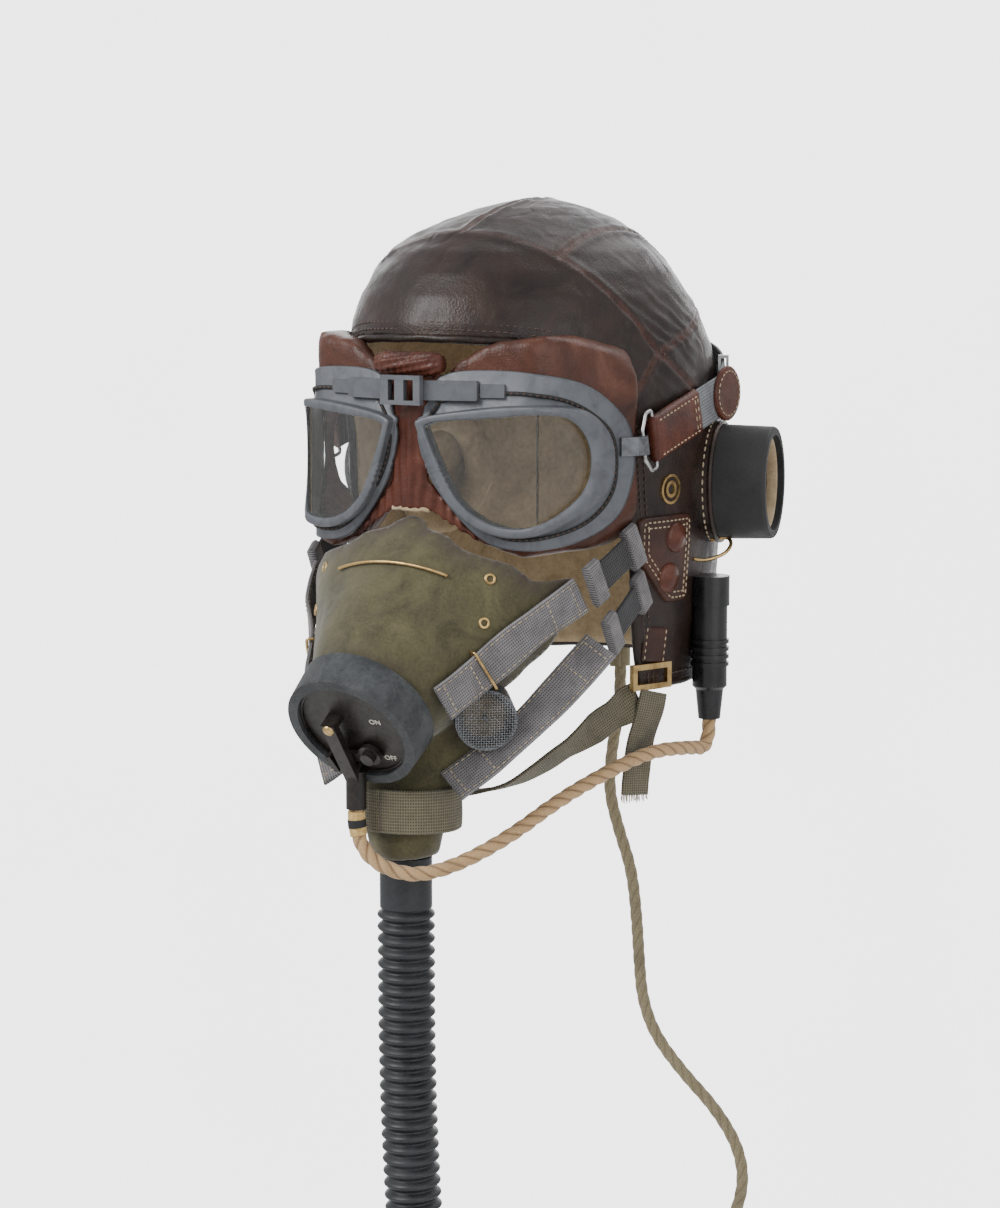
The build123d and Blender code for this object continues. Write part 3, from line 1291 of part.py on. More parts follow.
def make_lead_fittings():
    gland = Plane(origin=(GLAND_X, GLAND_Y, LEAD_ROUTE[0][2]))
    clip = gland * Pos(0, -GLAND_RADIUS, GLAND_LENGTH / 2)
    sleeve = rod(gland, GLAND_RADIUS, 0, GLAND_LENGTH)
    sleeve = sleeve + clip * Box(GLAND_RADIUS, 2 * GLAND_RADIUS, GLAND_LENGTH)
    keep("lead_gland", sleeve - head_form(-SEAT_GAP))
    x, y, z = LEAD_ROUTE[-1]
    down = Plane(origin=(x, y, z), z_dir=(0, 0, -1))
    ring = LEAD_PLUG_RING_LENGTH
    plug = cone(down, LEAD_RADIUS + LEAD_PLUG_RING_PROUD, LEAD_PLUG_RADIUS, 0, LEAD_PLUG_RADIUS)
    plug = plug + rod(down, LEAD_PLUG_RADIUS, LEAD_PLUG_RADIUS, LEAD_PLUG_LENGTH)
    plug = plug + rod(down, LEAD_PLUG_RADIUS + LEAD_PLUG_RING_PROUD, LEAD_PLUG_LENGTH - ring, LEAD_PLUG_LENGTH)
    end = LEAD_PLUG_LENGTH + LEAD_PLUG_TIP_LENGTH
    keep("lead_plug", plug + rod(down, LEAD_PLUG_TIP_RADIUS, LEAD_PLUG_LENGTH, end))


# Harness and chin strap

def make_harness():
    upper = ribbon(UPPER_WEB_POINTS, UPPER_WEB_SIDES, WEB_WIDTH, WEB_THICK)
    lower = ribbon(LOWER_WEB_POINTS, LOWER_WEB_SIDES, WEB_WIDTH, WEB_THICK)
    lower = lower - valve_room()
    straps = [upper, lower, mirrored(upper), mirrored(lower)]
    keep("harness_webbing", Compound(children=straps))
    loops = []
    elastics = []
    for start, end, side in LINKS:
        first, last = Vector(*start), Vector(*end)
        along = (last - first).normalized()
        across = Vector(*side).normalized()
        for spot in [first, last]:
            near = spot - along * (LINK_LOOP_DEPTH / 2)
            far = spot + along * (LINK_LOOP_DEPTH / 2)
            ends = [(near.X, near.Y, near.Z), (far.X, far.Y, far.Z)]
            loops.append(ribbon(ends, [side] * 2, LINK_LOOP_HEIGHT, LINK_LOOP_THICK))
        near = first + along * (LINK_LOOP_DEPTH / 2)
        far = last - along * (LINK_LOOP_DEPTH / 2)
        ends = [(near.X, near.Y, near.Z), (far.X, far.Y, far.Z)]
        elastics.append(ribbon(ends, [side] * 2, ELASTIC_WIDTH, ELASTIC_THICK))
    keep("link_loops", Compound(children=loops + [mirrored(loop) for loop in loops]))
    keep("link_elastics", Compound(children=elastics + [mirrored(band) for band in elastics]))


def make_chin_webbing():
    """The webbing band that goes round the spout under the microphone."""
    grow = WEB_THICK + SOFT_GAP
    low = CHIN_BAND_LOW_Z
    height = CHIN_BAND_HEIGHT
    outer = Ellipse(CHIN_BAND_HALF_X + grow, CHIN_BAND_HALF_Y + grow)
    band = Pos(0, CHIN_BAND_Y, low) * extrude(outer, height)
    keep("chin_webbing", band - mask_form(-SOFT_GAP) - spout_room())


def spout_room():
    throat = Ellipse(SPOUT_TOP_HALF_X + SOFT_GAP, SPOUT_TOP_HALF_Y + SOFT_GAP)
    mouth = spout_plane(SPOUT_LOW_Z) * Circle(SPOUT_LOW_RADIUS + SOFT_GAP)
    return loft([Pos(0, SPOUT_Y, SPOUT_TOP_Z) * throat, mouth], ruled=True)


def make_chin_strap():
    keeper = ribbon(KEEPER_POINTS, [FLAP_SIDE] * 2, KEEPER_WIDTH, KEEPER_THICK)
    keep("chin_keepers", Compound(children=[keeper, mirrored(keeper)]))
    out = Vector(*FLAP_SIDE).cross(Vector(0, 0, 1)).normalized()
    plane = Plane(origin=BUCKLE_CENTRE, x_dir=FLAP_SIDE, z_dir=(out.X, out.Y, out.Z))
    frame = Box(2 * BUCKLE_HALF_WIDTH, 2 * BUCKLE_HALF_HEIGHT, 2 * BUCKLE_BAR)
    window_width = 2 * (BUCKLE_HALF_WIDTH - 2 * BUCKLE_BAR)
    window_height = 2 * (BUCKLE_HALF_HEIGHT - 2 * BUCKLE_BAR)
    frame = frame - Box(window_width, window_height, 4 * BUCKLE_BAR)
    keep("chin_buckle", plane * frame)
    strap = ribbon(CHIN_STRAP_POINTS, CHIN_STRAP_SIDES, CHIN_STRAP_WIDTH, CHIN_STRAP_THICK)
    keep("chin_strap", strap)
    tail = ribbon(TAIL_POINTS, [FLAP_SIDE] * len(TAIL_POINTS), CHIN_STRAP_WIDTH, CHIN_STRAP_THICK)
    keep("strap_tail", tail)


def main():
    os.makedirs("parts", exist_ok=True)
    opening = face_opening()
    body = head_form(-SEAT_GAP)
    make_leather(opening)
    make_lining(opening)
    make_ear_cups(body)
    make_ear_pads()
    make_studs(body)
    make_snap_tab()
    make_lens()
    make_nose_leather()
    make_goggle_pads()
    make_bridge()
    make_front_straps()
    make_rear_strap()
    make_hooks()
    make_mask()
    make_mic()
    make_exhaust()
    make_inlet()
    make_nose_wire()
    make_hose()
    make_connector()
    make_jack()
    keep("mic_cord", tube(MIC_CORD_ROUTE, MIC_CORD_RADIUS, "microphone cord"))
    keep("helmet_lead", tube(LEAD_ROUTE, LEAD_RADIUS, "helmet lead"))
    make_lead_fittings()
    make_harness()
    make_chin_webbing()
    make_chin_strap()
    for name, shape in PARTS.items():
        export_step(shape, "parts/" + name + ".step")
    print(len(PARTS), "parts")


main()
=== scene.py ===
"""Looks for the pilot flight helmet: leather, goggles, mask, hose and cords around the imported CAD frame."""

import math

import bmesh
import bpy
import numpy as np
from mathutils import Matrix, Vector, noise
from mathutils.bvhtree import BVHTree
from mathutils.kdtree import KDTree


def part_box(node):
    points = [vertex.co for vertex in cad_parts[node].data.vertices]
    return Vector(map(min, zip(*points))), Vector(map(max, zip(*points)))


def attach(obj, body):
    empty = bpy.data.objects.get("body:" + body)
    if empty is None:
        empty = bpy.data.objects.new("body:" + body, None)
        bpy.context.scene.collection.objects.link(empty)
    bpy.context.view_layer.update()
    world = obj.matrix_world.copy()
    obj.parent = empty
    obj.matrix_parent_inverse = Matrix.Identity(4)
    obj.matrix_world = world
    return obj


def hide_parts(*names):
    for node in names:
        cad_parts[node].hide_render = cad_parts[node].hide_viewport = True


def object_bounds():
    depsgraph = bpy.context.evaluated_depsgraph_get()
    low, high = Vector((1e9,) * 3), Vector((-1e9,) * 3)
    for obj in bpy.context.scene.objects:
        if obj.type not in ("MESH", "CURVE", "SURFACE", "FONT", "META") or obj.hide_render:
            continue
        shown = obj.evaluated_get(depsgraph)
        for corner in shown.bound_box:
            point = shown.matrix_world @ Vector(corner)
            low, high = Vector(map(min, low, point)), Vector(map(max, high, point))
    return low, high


# Lengths are in millimetres, but for names that end in _M
MM = 0.001
CURVE_STEP = 0.8
STRAP_STEP = 2.0

# The head's form, as the solids have it
HALF_WIDTH = 82.0
HALF_DEPTH = 102.0
APEX_Z = 131.0
DOME_LOW_Z = 20.0
NECK_Z = -92.0
BROW_Z = 71.0
LEATHER = 2.2
LINING = 1.4
SOFT_GAP = 0.3
# height, breadth and forward lean of each level, as shares of apex height and half depth
HEAD_SHARES = [
    (-0.95, 0.895, 0.000),
    (-0.70, 0.925, 0.000),
    (-0.45, 0.965, 0.000),
    (-0.20, 0.990, 0.000),
    (0.05, 1.000, 0.000),
    (0.22, 1.000, 0.005),
    (0.36, 0.988, 0.025),
    (0.48, 0.960, 0.055),
    (0.58, 0.915, 0.085),
    (0.67, 0.855, 0.105),
    (0.75, 0.780, 0.115),
    (0.82, 0.690, 0.110),
    (0.88, 0.580, 0.085),
    (0.93, 0.440, 0.050),
    (0.965, 0.300, 0.025),
    (0.99, 0.150, 0.010),
    (1.00, 0.050, 0.000),
]
# how far the way out still points down below the ears
NECK_FLARE_SHARE = 0.25
# the face opening's edge in the side view: height, then Y
OPENING_EDGE = [
    (-92.0, -30.0),
    (-60.0, -38.0),
    (22.0, -46.0),
    (50.0, -61.0),
    (60.0, -67.5),
    (65.0, -74.0),
    (67.5, -82.0),
    (69.5, -92.0),
    (71.0, -104.0),
]
BROW_BEND_Z = 60.0
BROW_BEND_GAP = 0.2
FLAT_SHARE = 0.9

# Seams in the side view: Y and Z
JUNCTION = (-27.0, 63.0)
BROW_SEAM = (-82.0, 135.0)
TEMPLE_SEAM = (-48.0, 40.0)
REAR_SEAM = (100.0, 98.0)
EAR_SEAM = (105.0, -23.6)
CROSS_SEAM_X = 46.0
CREST_HALF_Y = 95.0
SEAM_STEP = 1.0
SEAM_CLEAR = 0.4
SEAM_HEIGHT = 0.75
SEAM_RIDGE = 2.6
SEAM_SPREAD = 2.0
SEAM_GROOVE = 0.75

# Skin: mesh steps, binding, rows of stitches, and its waves, creases and slack
SKIN_STEP = 1.5
LINING_STEP = 4.0
WELD = 0.02
BINDING_RADIUS = 2.0
BINDING_RIPPLE = 0.12
BINDING_WAVE = 3.1
OPENING_STITCHES = [4.2, 7.4]
HEM_STITCH = 4.5
SEAM_STITCH = 2.3
WAVE_SIZE = 26.0
WAVE_HEIGHT = 0.55
CREASE_SIZES = (17.0, 17.0, 30.0)
CREASE_SHIFT = (7.0, 3.0, 1.0)
CREASE_SHARE = 0.10
SLACK_PLACE = (72.0, -18.0, 66.0)
SLACK_REACH = (14.0, 26.0, 20.0)
SLACK_HEIGHT = 0.7
SLACK_TURN = (0.45, 0.75)
SLACK_DRIFT = 3.0
SLACK_DRIFT_SIZE = 12.0

# Stitches: thread and body, then length, gap, radius and lift of each stitch
STITCHES = {
    "helmet_stitches": ("brown_thread", "helmet", 2.2, 1.0, 0.34, 0.12),
    "snap_tab_stitches": ("tan_thread", "helmet", 2.0, 1.0, 0.38, 0.10),
    "ear_ring_stitches": ("tan_thread", "helmet", 2.6, 1.4, 0.42, 0.20),
    "goggle_lacing": ("brown_thread", "goggles", 1.6, 1.3, 0.50, 0.60),
    "loop_stitches": ("tan_thread", "goggles", 2.2, 1.1, 0.36, 0.10),
    "patch_stitches": ("tan_thread", "helmet", 2.0, 1.0, 0.34, 0.05),
    "webbing_stitches": ("tan_thread", "helmet", 2.0, 1.2, 0.28, 0.02),
    "keeper_stitches": ("tan_thread", "helmet", 1.8, 1.0, 0.32, 0.05),
    "web_boxes": ("tan_thread", "helmet", 1.8, 0.9, 0.34, 0.05),
}
# a stitch's thickness at shares of its length
STITCH_SHARES = [(-0.5, 0.25), (-0.32, 0.95), (0.0, 1.1), (0.32, 0.95), (0.5, 0.25)]

# Ear cup, its beads and the felt in its bore
EAR = (84.5, 28.0, 0.0)
EAR_TILT_DEG = 15.0
EAR_RING_RADIUS = 28.3
EAR_STITCH_BACK = 3.0
CUP_RIM_RADIUS = 26.5
CUP_LENGTH = 26.0
CUP_FLOOR = 5.0
CUP_BORE_RADIUS = 22.5
PIPING_SINK = 0.4
PIPING_HEIGHT = 0.2
PIPING_THICK = 1.3
BEAD_SINK = 1.2
BEAD_DROP = 0.9
BEAD_THICK = 1.0
FELT_GAP = 0.1
FELT_THICK = 1.1
FELT_START = 10.0
FELT_DROP = 3.0
FELT_EDGE_IN = 0.5
FELT_EDGE_DOWN = 0.6
# a tan wire loop below the cup
EAR_LOOP = [
    (78.0, 4.0, -34.0),
    (86.0, 8.0, -35.5),
    (92.5, 15.0, -33.0),
    (94.0, 20.0, -29.0),
    (91.0, 22.0, -26.0),
    (84.0, 18.0, -27.0),
]
EAR_LOOP_RADIUS = 0.9

# Snap tab and its caps on the ear flap: Y and Z
TAB_OUTLINE = [(-42.0, -12.0), (-4.5, -12.0), (-5.0, -53.0), (-21.0, -53.0), (-42.0, -31.0)]
TAB_ROUND = 4.0
TAB_SINK = 1.0
TAB_THICK = 2.4
TAB_CROWN = 0.2
TAB_EDGE = 1.0
# inset and lift of the tab's two rows of stitches
TAB_STITCHES = [(2.4, 0.0), (5.0, 0.1)]
CAPS = [(-18.0, -22.5), (-22.0, -41.0)]
CAP_RADIUS = 7.0
CAP_SINK = 0.6
CAP_HEIGHT = 1.9
CAP_CROWN = 1.2
CAP_EDGE = 2.6

# Soft forms: their solid, material, slot and body, then voxel, rounds of smoothing, swell and its cap
SOFT_FORMS = {
    "pad_left": ("goggle_pad_left", "pad_leather", "pad_leather", "goggles", 2.6, 10, 3.0, 1.6),
    "pad_right": ("goggle_pad_right", "pad_leather", "pad_leather", "goggles", 2.6, 10, 3.0, 1.6),
    "nose_piece": ("nose_leather", "red_leather", "red_leather", "goggles", 0.9, 3, 0.0, 0.0),
    "ear_cushions": ("ear_pads", "chamois", "chamois", "helmet", 2.4, 10, 2.0, 1.2),
}
# height and size of each wave in a soft form
PAD_FOLDS = [(0.45, 15.0), (0.35, (6.0, 16.0, 6.0))]
NOSE_PLEAT_HEIGHT = 0.35
NOSE_PLEAT_TURN = 1.35
NOSE_PLEAT_DRIFT = 2.2
NOSE_PLEAT_SIZES = (9.0, 1.0, 14.0)
NOSE_LOOSE_Z = 20.0
NOSE_LOOSE_REACH = 40.0
NOSE_FOLDS = [(0.3, 7.0)]

# Goggle frames and panes
BRIDGE_HALF_GAP = 11.5
LENS_INNER_Y = -117.0
FRONT_PANE_DEG = 14.6
PANE_EDGE_X = 60.5
SIDE_PANE_DEG = 60.0
CREASE_SOFTNESS = 3.0
OUTLINE_STEP = 0.5
LENS_CENTRE = (43.0, 15.0)
# low and high X, low and high Z
LENS_BOX = (11.5, 76.5, -11.5, 39.0)
LENS_SHARES = [
    (0.02, 0.91),
    (0.40, 0.965),
    (0.78, 1.00),
    (0.93, 0.92),
    (1.00, 0.63),
    (0.96, 0.27),
    (0.76, 0.00),
    (0.45, 0.00),
    (0.18, 0.26),
    (0.00, 0.78),
]
FLANGE_BOX = (5.6, 83.8, -22.0, 57.5)
FLANGE_SHARES = [
    (0.02, 0.72),
    (0.12, 0.96),
    (0.50, 1.00),
    (0.80, 0.94),
    (0.95, 0.76),
    (1.00, 0.53),
    (0.97, 0.24),
    (0.88, 0.08),
    (0.72, 0.00),
    (0.46, 0.01),
    (0.28, 0.12),
    (0.08, 0.37),
    (0.00, 0.60),
]
RIM_WIDTH = 4.5
RIM_FRONT = 3.4
RIM_SEAT = -2.6
RIM_LAP = 1.0
RIM_FILLET = 0.7
FLANGE_FRONT = -1.6
FLANGE_BACK = -3.8
FLANGE_LEAST = 1.8
EDGE_ROUND = 1.0
# a rounded edge: how far in and how far down, as shares of its radius
RIM_ROUND_SHARES = [(0.0, 1.0), (0.3, 0.35), (1.0, 0.0)]
FLANGE_ROUND_SHARES = [(0.9, 0.0), (0.2, 0.4), (0.0, 1.0)]
# the lace that ties pad and frame: X and Z
LACE_OUTLINE = [
    (16.0, 43.5),
    (30.0, 46.5),
    (52.0, 47.5),
    (66.0, 44.5),
    (75.0, 36.0),
    (79.5, 25.0),
    (79.5, 5.0),
    (74.5, -8.0),
    (66.0, -15.0),
    (54.0, -17.5),
    (42.0, -16.0),
    (29.0, -8.0),
    (17.0, 6.0),
    (10.2, 20.0),
    (9.5, 32.0),
]
LACE_STEP = 1.2
LACE_LIFT = 0.2
LACE_RADIUS = 0.9
NOTCH_HALF_WIDTH = 9.0
NOTCH_NEAR = 1.2
NOTCH_RADIUS = 1.0

# Bridge: the gathered roll, and the gathered apron behind the link
TUBE_RADIUS = 5.2
TUBE_HALF_LENGTH = 17.0
TUBE_Y = -113.8
TUBE_Z = 60.0
TUBE_DRAW_REACH = 3.0
TUBE_DRAW_SHARE = 0.28
# depth, pleats round the roll and their turn along it
TUBE_PLEAT_SHARES = [(0.06, 9, 0.35), (0.035, 3, 1.9)]
APRON_HALF_WIDTH = 15.0
APRON_LOW_Z = 40.0
APRON_HIGH_Z = 62.0
APRON_Y = -112.4
APRON_THICK = 1.4
APRON_ROWS = 40
APRON_COLUMNS = 90
APRON_PLEAT_HEIGHTS = (0.35, 0.2)
APRON_PLEAT_TURNS = (1.4, 0.6)
APRON_DRIFT = 1.5
APRON_DRIFT_SIZES = (5.0, 3.0)

# Goggle strap
PIVOT_Y = 28.0
PIVOT_Z = 41.8
STRAP_SLOPE_DEG = 13.5
STRAP_WIDTH = 20.0
STRAP_THICK = 1.4
STRAP_INNER_X = 85.2
ELASTIC_TUCK = 10.0
ELASTIC_END = 4.0
LOOP_FRONT_Y = -46.0
LOOP_BACK_Y = -1.0
LOOP_WIDTH = 22.0
LOOP_THICK = 5.2
LOOP_TURN = 2.0
LOOP_RIPPLE = 0.5
LOOP_STITCH_UP = 8.2
LOOP_STITCH_START = 5.0
LOOP_STITCH_END = 2.0
LOOP_CROSS_UP = 8.0
LOOP_CROSS_STITCHES = [2.5, 5.0]
REAR_STRAP_HALF_WIDTH = 87.0
REAR_STRAP_HALF_DEPTH = 99.5
REAR_STRAP_START_Y = 31.0
REAR_STRAP_STEP = 2.5
PATCH_RADIUS = 13.0
PATCH_THICK = 1.6
PATCH_STITCH_RADIUS = 10.6
# the round patch's section: inward from its rim, and height
PATCH_STEPS = [(0.0, 0.0), (0.0, 0.9), (0.7, 1.5), (3.0, 1.55), (7.0, 1.65), (12.9, 1.7)]

# Mask, in the frame of the microphone
MIC = (0.0, -162.0, -99.0)
MIC_DROP_DEG = 36.0
MASK_CLOTH = 2.0
MASK_VOXEL = 1.6
MASK_ROUNDS = 14
MASK_RIM_ROUNDS = 8
# depth behind the microphone's face, half width, rise above and drop below
MASK_LEVELS = [
    (16.0, 29.0, 29.0, 29.0),
    (48.0, 43.0, 36.0, 42.0),
    (80.0, 61.0, 42.0, 58.0),
    (106.0, 68.0, 44.0, 60.0),
]
# height of the torn top edge at distances from the middle
MASK_TOP = [(0.0, -10.5), (7.0, -12.0), (22.0, -16.0), (35.0, -22.5), (50.0, -28.0), (60.0, -37.0), (90.0, -39.0)]
MASK_REACH = 3.4
MASK_EDGE_REACH = 14.0
MASK_FRONT_Y = -104.0
MASK_EDGE_Z = -45.0
MASK_FOLDS = [(0.9, 24.0), (0.2, 6.0)]
MASK_PULLS = [(0.4, (9.0, 30.0, 9.0))]
MASK_SKEW_SHARE = 0.6
# half width, half depth, Y and Z where the chin starts and where the spout does
CHIN_TOP = (44.0, 22.0, -103.0, -92.0)
SPOUT_TOP = (20.5, 16.5, -119.0, -143.0)
SPOUT_LOW = (15.5, 15.5, -119.0, -163.0)
# place and way out of each eyelet
EYELETS = [((43.8, -117.4, -34.0), (0.59, -0.72, 0.37)), ((44.5, -123.8, -52.9), (0.76, -0.63, 0.14))]
# radius and height of an eyelet's ring, then half its width and half its height
EYELET_BEAD = (2.0, 0.3, 0.7, 0.6)

# Microphone face: words and screw, across, up and out from its middle
WORDS = [("ON", (13.0, 4.0, -1.05)), ("OFF", (13.0, -18.0, -1.05))]
LETTER_SIZE = 3.8
LETTER_DEPTH = 0.15
SCREW_PLACE = (-7.0, 5.5, 7.0)
SCREW_PROFILE = [(2.7, 0.0), (2.5, 0.7), (1.6, 1.2), (0.1, 1.3)]

# Wire mesh over the exhaust
MESH_PITCH = 1.15
MESH_WIRE_RADIUS = 0.2
MESH_DOME = 1.2

# Breathing hose
HOSE_ROUTE = [
    (0.0, -119.0, -163.0),
    (0.0, -119.0, -200.0),
    (-0.8, -117.6, -262.0),
    (0.6, -115.6, -322.0),
    (4.2, -114.2, -384.0),
    (5.4, -114.6, -446.0),
    (3.2, -115.4, -508.0),
    (2.4, -115.6, -555.0),
    (2.4, -115.6, -590.0),
]
HOSE_STEP = 0.5
HOSE_CREST_RADIUS = 13.2
HOSE_ROOT_RADIUS = 10.6
HOSE_CUFF_RADIUS = 12.0
HOSE_CUFF_LENGTH = 24.0
HOSE_RIB_COUNT = 66

# Cords
CORD_STEP = 0.8
# depth between strands, as a share of the radius, where the painted shade in the cotton is full
HOLLOW_SHADE_SHARE = 0.2
MIC_CORD_ROUTE = [
    (-7.0, -149.0, -137.0),
    (-7.0, -149.0, -148.0),
    (-2.4, -147.2, -158.5),
    (6.3, -142.4, -165.0),
    (17.5, -134.6, -167.6),
    (31.0, -121.6, -163.0),
    (46.0, -102.7, -152.0),
    (58.0, -82.4, -138.6),
    (69.0, -58.0, -128.5),
    (79.5, -31.0, -121.0),
    (86.6, -6.0, -122.6),
    (87.6, 11.5, -125.5),
    (87.6, 11.5, -111.0),
]
LEAD_ROUTE = [
    (-8.0, 99.6, -104.0),
    (-8.0, 99.6, -124.0),
    (-11.5, 97.5, -146.0),
    (-12.0, 94.5, -168.0),
    (-5.0, 92.6, -188.0),
    (3.0, 92.0, -208.0),
    (6.0, 92.0, -231.0),
    (7.5, 92.2, -254.0),
    (9.5, 92.0, -275.0),
    (17.0, 92.0, -293.5),
    (33.0, 92.2, -311.0),
    (52.0, 92.0, -327.0),
    (65.5, 92.0, -345.5),
    (68.8, 92.2, -365.0),
    (62.0, 92.4, -386.0),
    (55.0, 92.2, -407.0),
    (53.0, 92.0, -428.0),
    (53.0, 92.0, -448.0),
]
MIC_CORD_RADIUS = 3.4
# solid, material and plug, then route, radius, strands, length of one turn and depth between strands
CORDS = {
    "mic_cord_cotton": ("mic_cord", "tan_cord", "jack_plug", MIC_CORD_ROUTE, MIC_CORD_RADIUS, 3, 22.0, 0.2),
    "helmet_lead_braid": ("helmet_lead", "khaki_cord", "lead_plug", LEAD_ROUTE, 3.1, 4, 30.0, 0.15),
}
# start and end along the cord
WHIPPING = (1.0, 12.0)
TAPE = (4.5, 8.5)
WHIPPING_STEP = 0.4
WHIPPING_THICK = 0.35
WHIPPING_RIDGE = 0.25
WHIPPING_PITCH = 1.1
TAPE_LIFT = 0.8

# Webbing on the wearer's left, with the direction of the width at each point
GREY_WEB = ("grey_webbing", "grey_web")
OLIVE_WEB = ("olive_webbing", "olive_web")
WEB_WIDTH = 18.0
WEB_THICK = 1.8
WEB_STITCH_IN = 1.8
WEB_RIPPLE = 0.3
LINK_RIPPLE = 0.2
LOWER_WEB_SEED = 3.0
UPPER_WEB = [
    ((35.6, -144.4, -87.0), (0.20, 0.35, 0.90)),
    ((45.4, -126.0, -74.0), (0.25, 0.30, 0.90)),
    ((58.5, -108.5, -58.0), (0.25, 0.25, 0.92)),
    ((71.0, -84.0, -43.0), (0.15, 0.30, 0.92)),
]
LOWER_WEB = [
    ((30.0, -128.0, -127.0), (0.10, 0.60, 0.80)),
    ((44.0, -114.5, -113.0), (0.10, 0.60, 0.80)),
    ((60.0, -97.0, -93.0), (0.10, 0.60, 0.80)),
    ((75.0, -72.0, -67.0), (0.10, 0.60, 0.80)),
]
# sewn rows across a web, from its front end, or from its rear end where negative
BOX_STITCHES = [4.0, 20.0, -18.0, -4.0]
BOX_EDGE = 2.0
WIRE_AT_SHARE = 0.30
WIRE_RADIUS = 0.7
WIRE_SIDE_ROOM = 1.2
WIRE_FACE_ROOM = 1.0
# a wire keeper's corners round the web, as shares of its half width and half depth
WIRE_SHARES = [(-0.9, -1), (0, -1), (0.9, -1), (1, 0), (0.9, 1), (0, 1), (-0.9, 1), (-1, 0)]
LINKS = [
    ((75.0, -77.0, -38.0), (80.5, -52.0, -24.0), (0.10, 0.28, 0.95)),
    ((77.6, -65.6, -62.0), (79.8, -43.2, -45.6), (0.10, 0.60, 0.80)),
]
LINK_LOOP_THICK = 4.4
LINK_LOOP_DEPTH = 8.0
LINK_LOOP_HEIGHT = 22.0
ELASTIC_WIDTH = 15.0
ELASTIC_THICK = 1.6

# Chin: band, keepers, strap, its loose end and its anchor on the wearer's right
CHIN_BAND_HALF_X = 26.0
CHIN_BAND_HALF_Y = 21.0
CHIN_BAND_Z = -139.0
CHIN_BAND_HEIGHT = 20.0
CHIN_BAND_RIPPLE = 0.4
FLAP_SIDE = (0.33, 0.94, 0.0)
KEEPER = [(78.0, -25.0, -64.0), (77.4, -27.5, -80.0)]
KEEPER_WIDTH = 15.0
KEEPER_THICK = 2.0
KEEPER_STITCH_IN = 1.6
CHIN_STRAP = [
    ((73.4, -33.4, -96.4), (0.45, 0.80, 0.35)),
    ((66.0, -46.0, -104.0), (0.50, 0.80, 0.30)),
    ((52.0, -63.0, -118.0), (0.35, 0.92, 0.10)),
    ((30.0, -76.0, -134.0), (0.15, 0.98, 0.00)),
    ((0.0, -81.0, -140.0), (0.00, 1.00, 0.00)),
    ((-30.0, -76.0, -134.0), (-0.15, 0.98, 0.00)),
    ((-52.0, -63.0, -118.0), (-0.35, 0.92, 0.10)),
    ((-66.0, -46.0, -104.0), (-0.50, 0.80, 0.30)),
    ((-73.4, -33.4, -96.4), (-0.45, 0.80, 0.35)),
]
CHIN_STRAP_WIDTH = 17.0
CHIN_STRAP_THICK = 1.6
TAIL = [(78.5, -27.4, -93.8), (77.0, -29.5, -104.0), (73.0, -32.0, -122.0), (72.0, -34.0, -142.0)]
TAIL_RIPPLE = 0.8
STRAP_ANCHOR = [(-73.4, -33.4, -96.4), (-75.8, -30.4, -90.0), (-77.9, -28.2, -82.0)]
STRAP_ANCHOR_WIDTH = 15.0
FRAY_COUNT = 26
FRAY_LENGTH = 2.6
FRAY_MORE = 2.4
FRAY_DRIFT = 1.2
FRAY_TUCK = 0.6
FRAY_RADIUS = 0.22

# Camera, from the photograph
CAMERA_TURN_DEG = 30.0
CAMERA_RISE_DEG = 5.0
CAMERA_DISTANCE_M = 1.5
CAMERA_FOCAL_PX = 3120.0
SENSOR_WIDTH = 36.0
IMAGE_WIDTH = 1000
IMAGE_HEIGHT = 1208
ORIGIN_PX = (537.0, 478.0)

# Studio
FLOOR_RADIUS_M = 0.75
BACKDROP_REACH_M = 4.0
BACKDROP_HALF_M = 1.7
SKY_COLOUR = (0.97, 0.97, 0.98, 1)
SKY_STRENGTH = 0.85
SHEET_STRENGTH = 3.0
# place, aim and size in metres, then power in watts
LIGHTS_M = {
    "key": ((-0.9, -1.6, 1.2), (0, -0.05, 0), 1.1, 42),
    "fill": ((1.7, -0.8, 0.5), (0, -0.05, -0.05), 1.5, 12),
    "back": ((0.3, 1.3, 1.6), (0, 0, 0), 1.4, 10),
}

# Leathers: dark, middle and worn colour, roughness, depth of the grain
LEATHERS = {
    "helmet_leather": ((0.010, 0.0065, 0.0055), (0.024, 0.0145, 0.0115), (0.044, 0.024, 0.018), 0.36, 0.10),
    "brown_leather": ((0.022, 0.009, 0.006), (0.058, 0.021, 0.014), (0.105, 0.042, 0.027), 0.36, 0.10),
    "cap_leather": ((0.050, 0.014, 0.008), (0.110, 0.034, 0.020), (0.190, 0.072, 0.044), 0.22, 0.10),
    "binding_leather": ((0.010, 0.006, 0.005), (0.020, 0.012, 0.009), (0.055, 0.028, 0.020), 0.33, 0.10),
    "red_leather": ((0.034, 0.009, 0.005), (0.092, 0.025, 0.014), (0.175, 0.062, 0.038), 0.40, 0.12),
    "pad_leather": ((0.030, 0.010, 0.006), (0.078, 0.026, 0.015), (0.150, 0.058, 0.035), 0.36, 0.12),
}
# Woven straps: dark and light colour, threads, dirt
WEAVES = {
    "grey_webbing": ((0.065, 0.062, 0.066), (0.235, 0.222, 0.226), 300, (0.05, 0.045, 0.04)),
    "olive_webbing": ((0.050, 0.044, 0.027), (0.165, 0.145, 0.092), 280, (0.05, 0.045, 0.04)),
    "blue_elastic": ((0.085, 0.092, 0.100), (0.250, 0.265, 0.280), 260, (0.05, 0.045, 0.04)),
    "black_elastic": ((0.006, 0.006, 0.007), (0.030, 0.030, 0.033), 260, (0.04, 0.036, 0.032)),
}
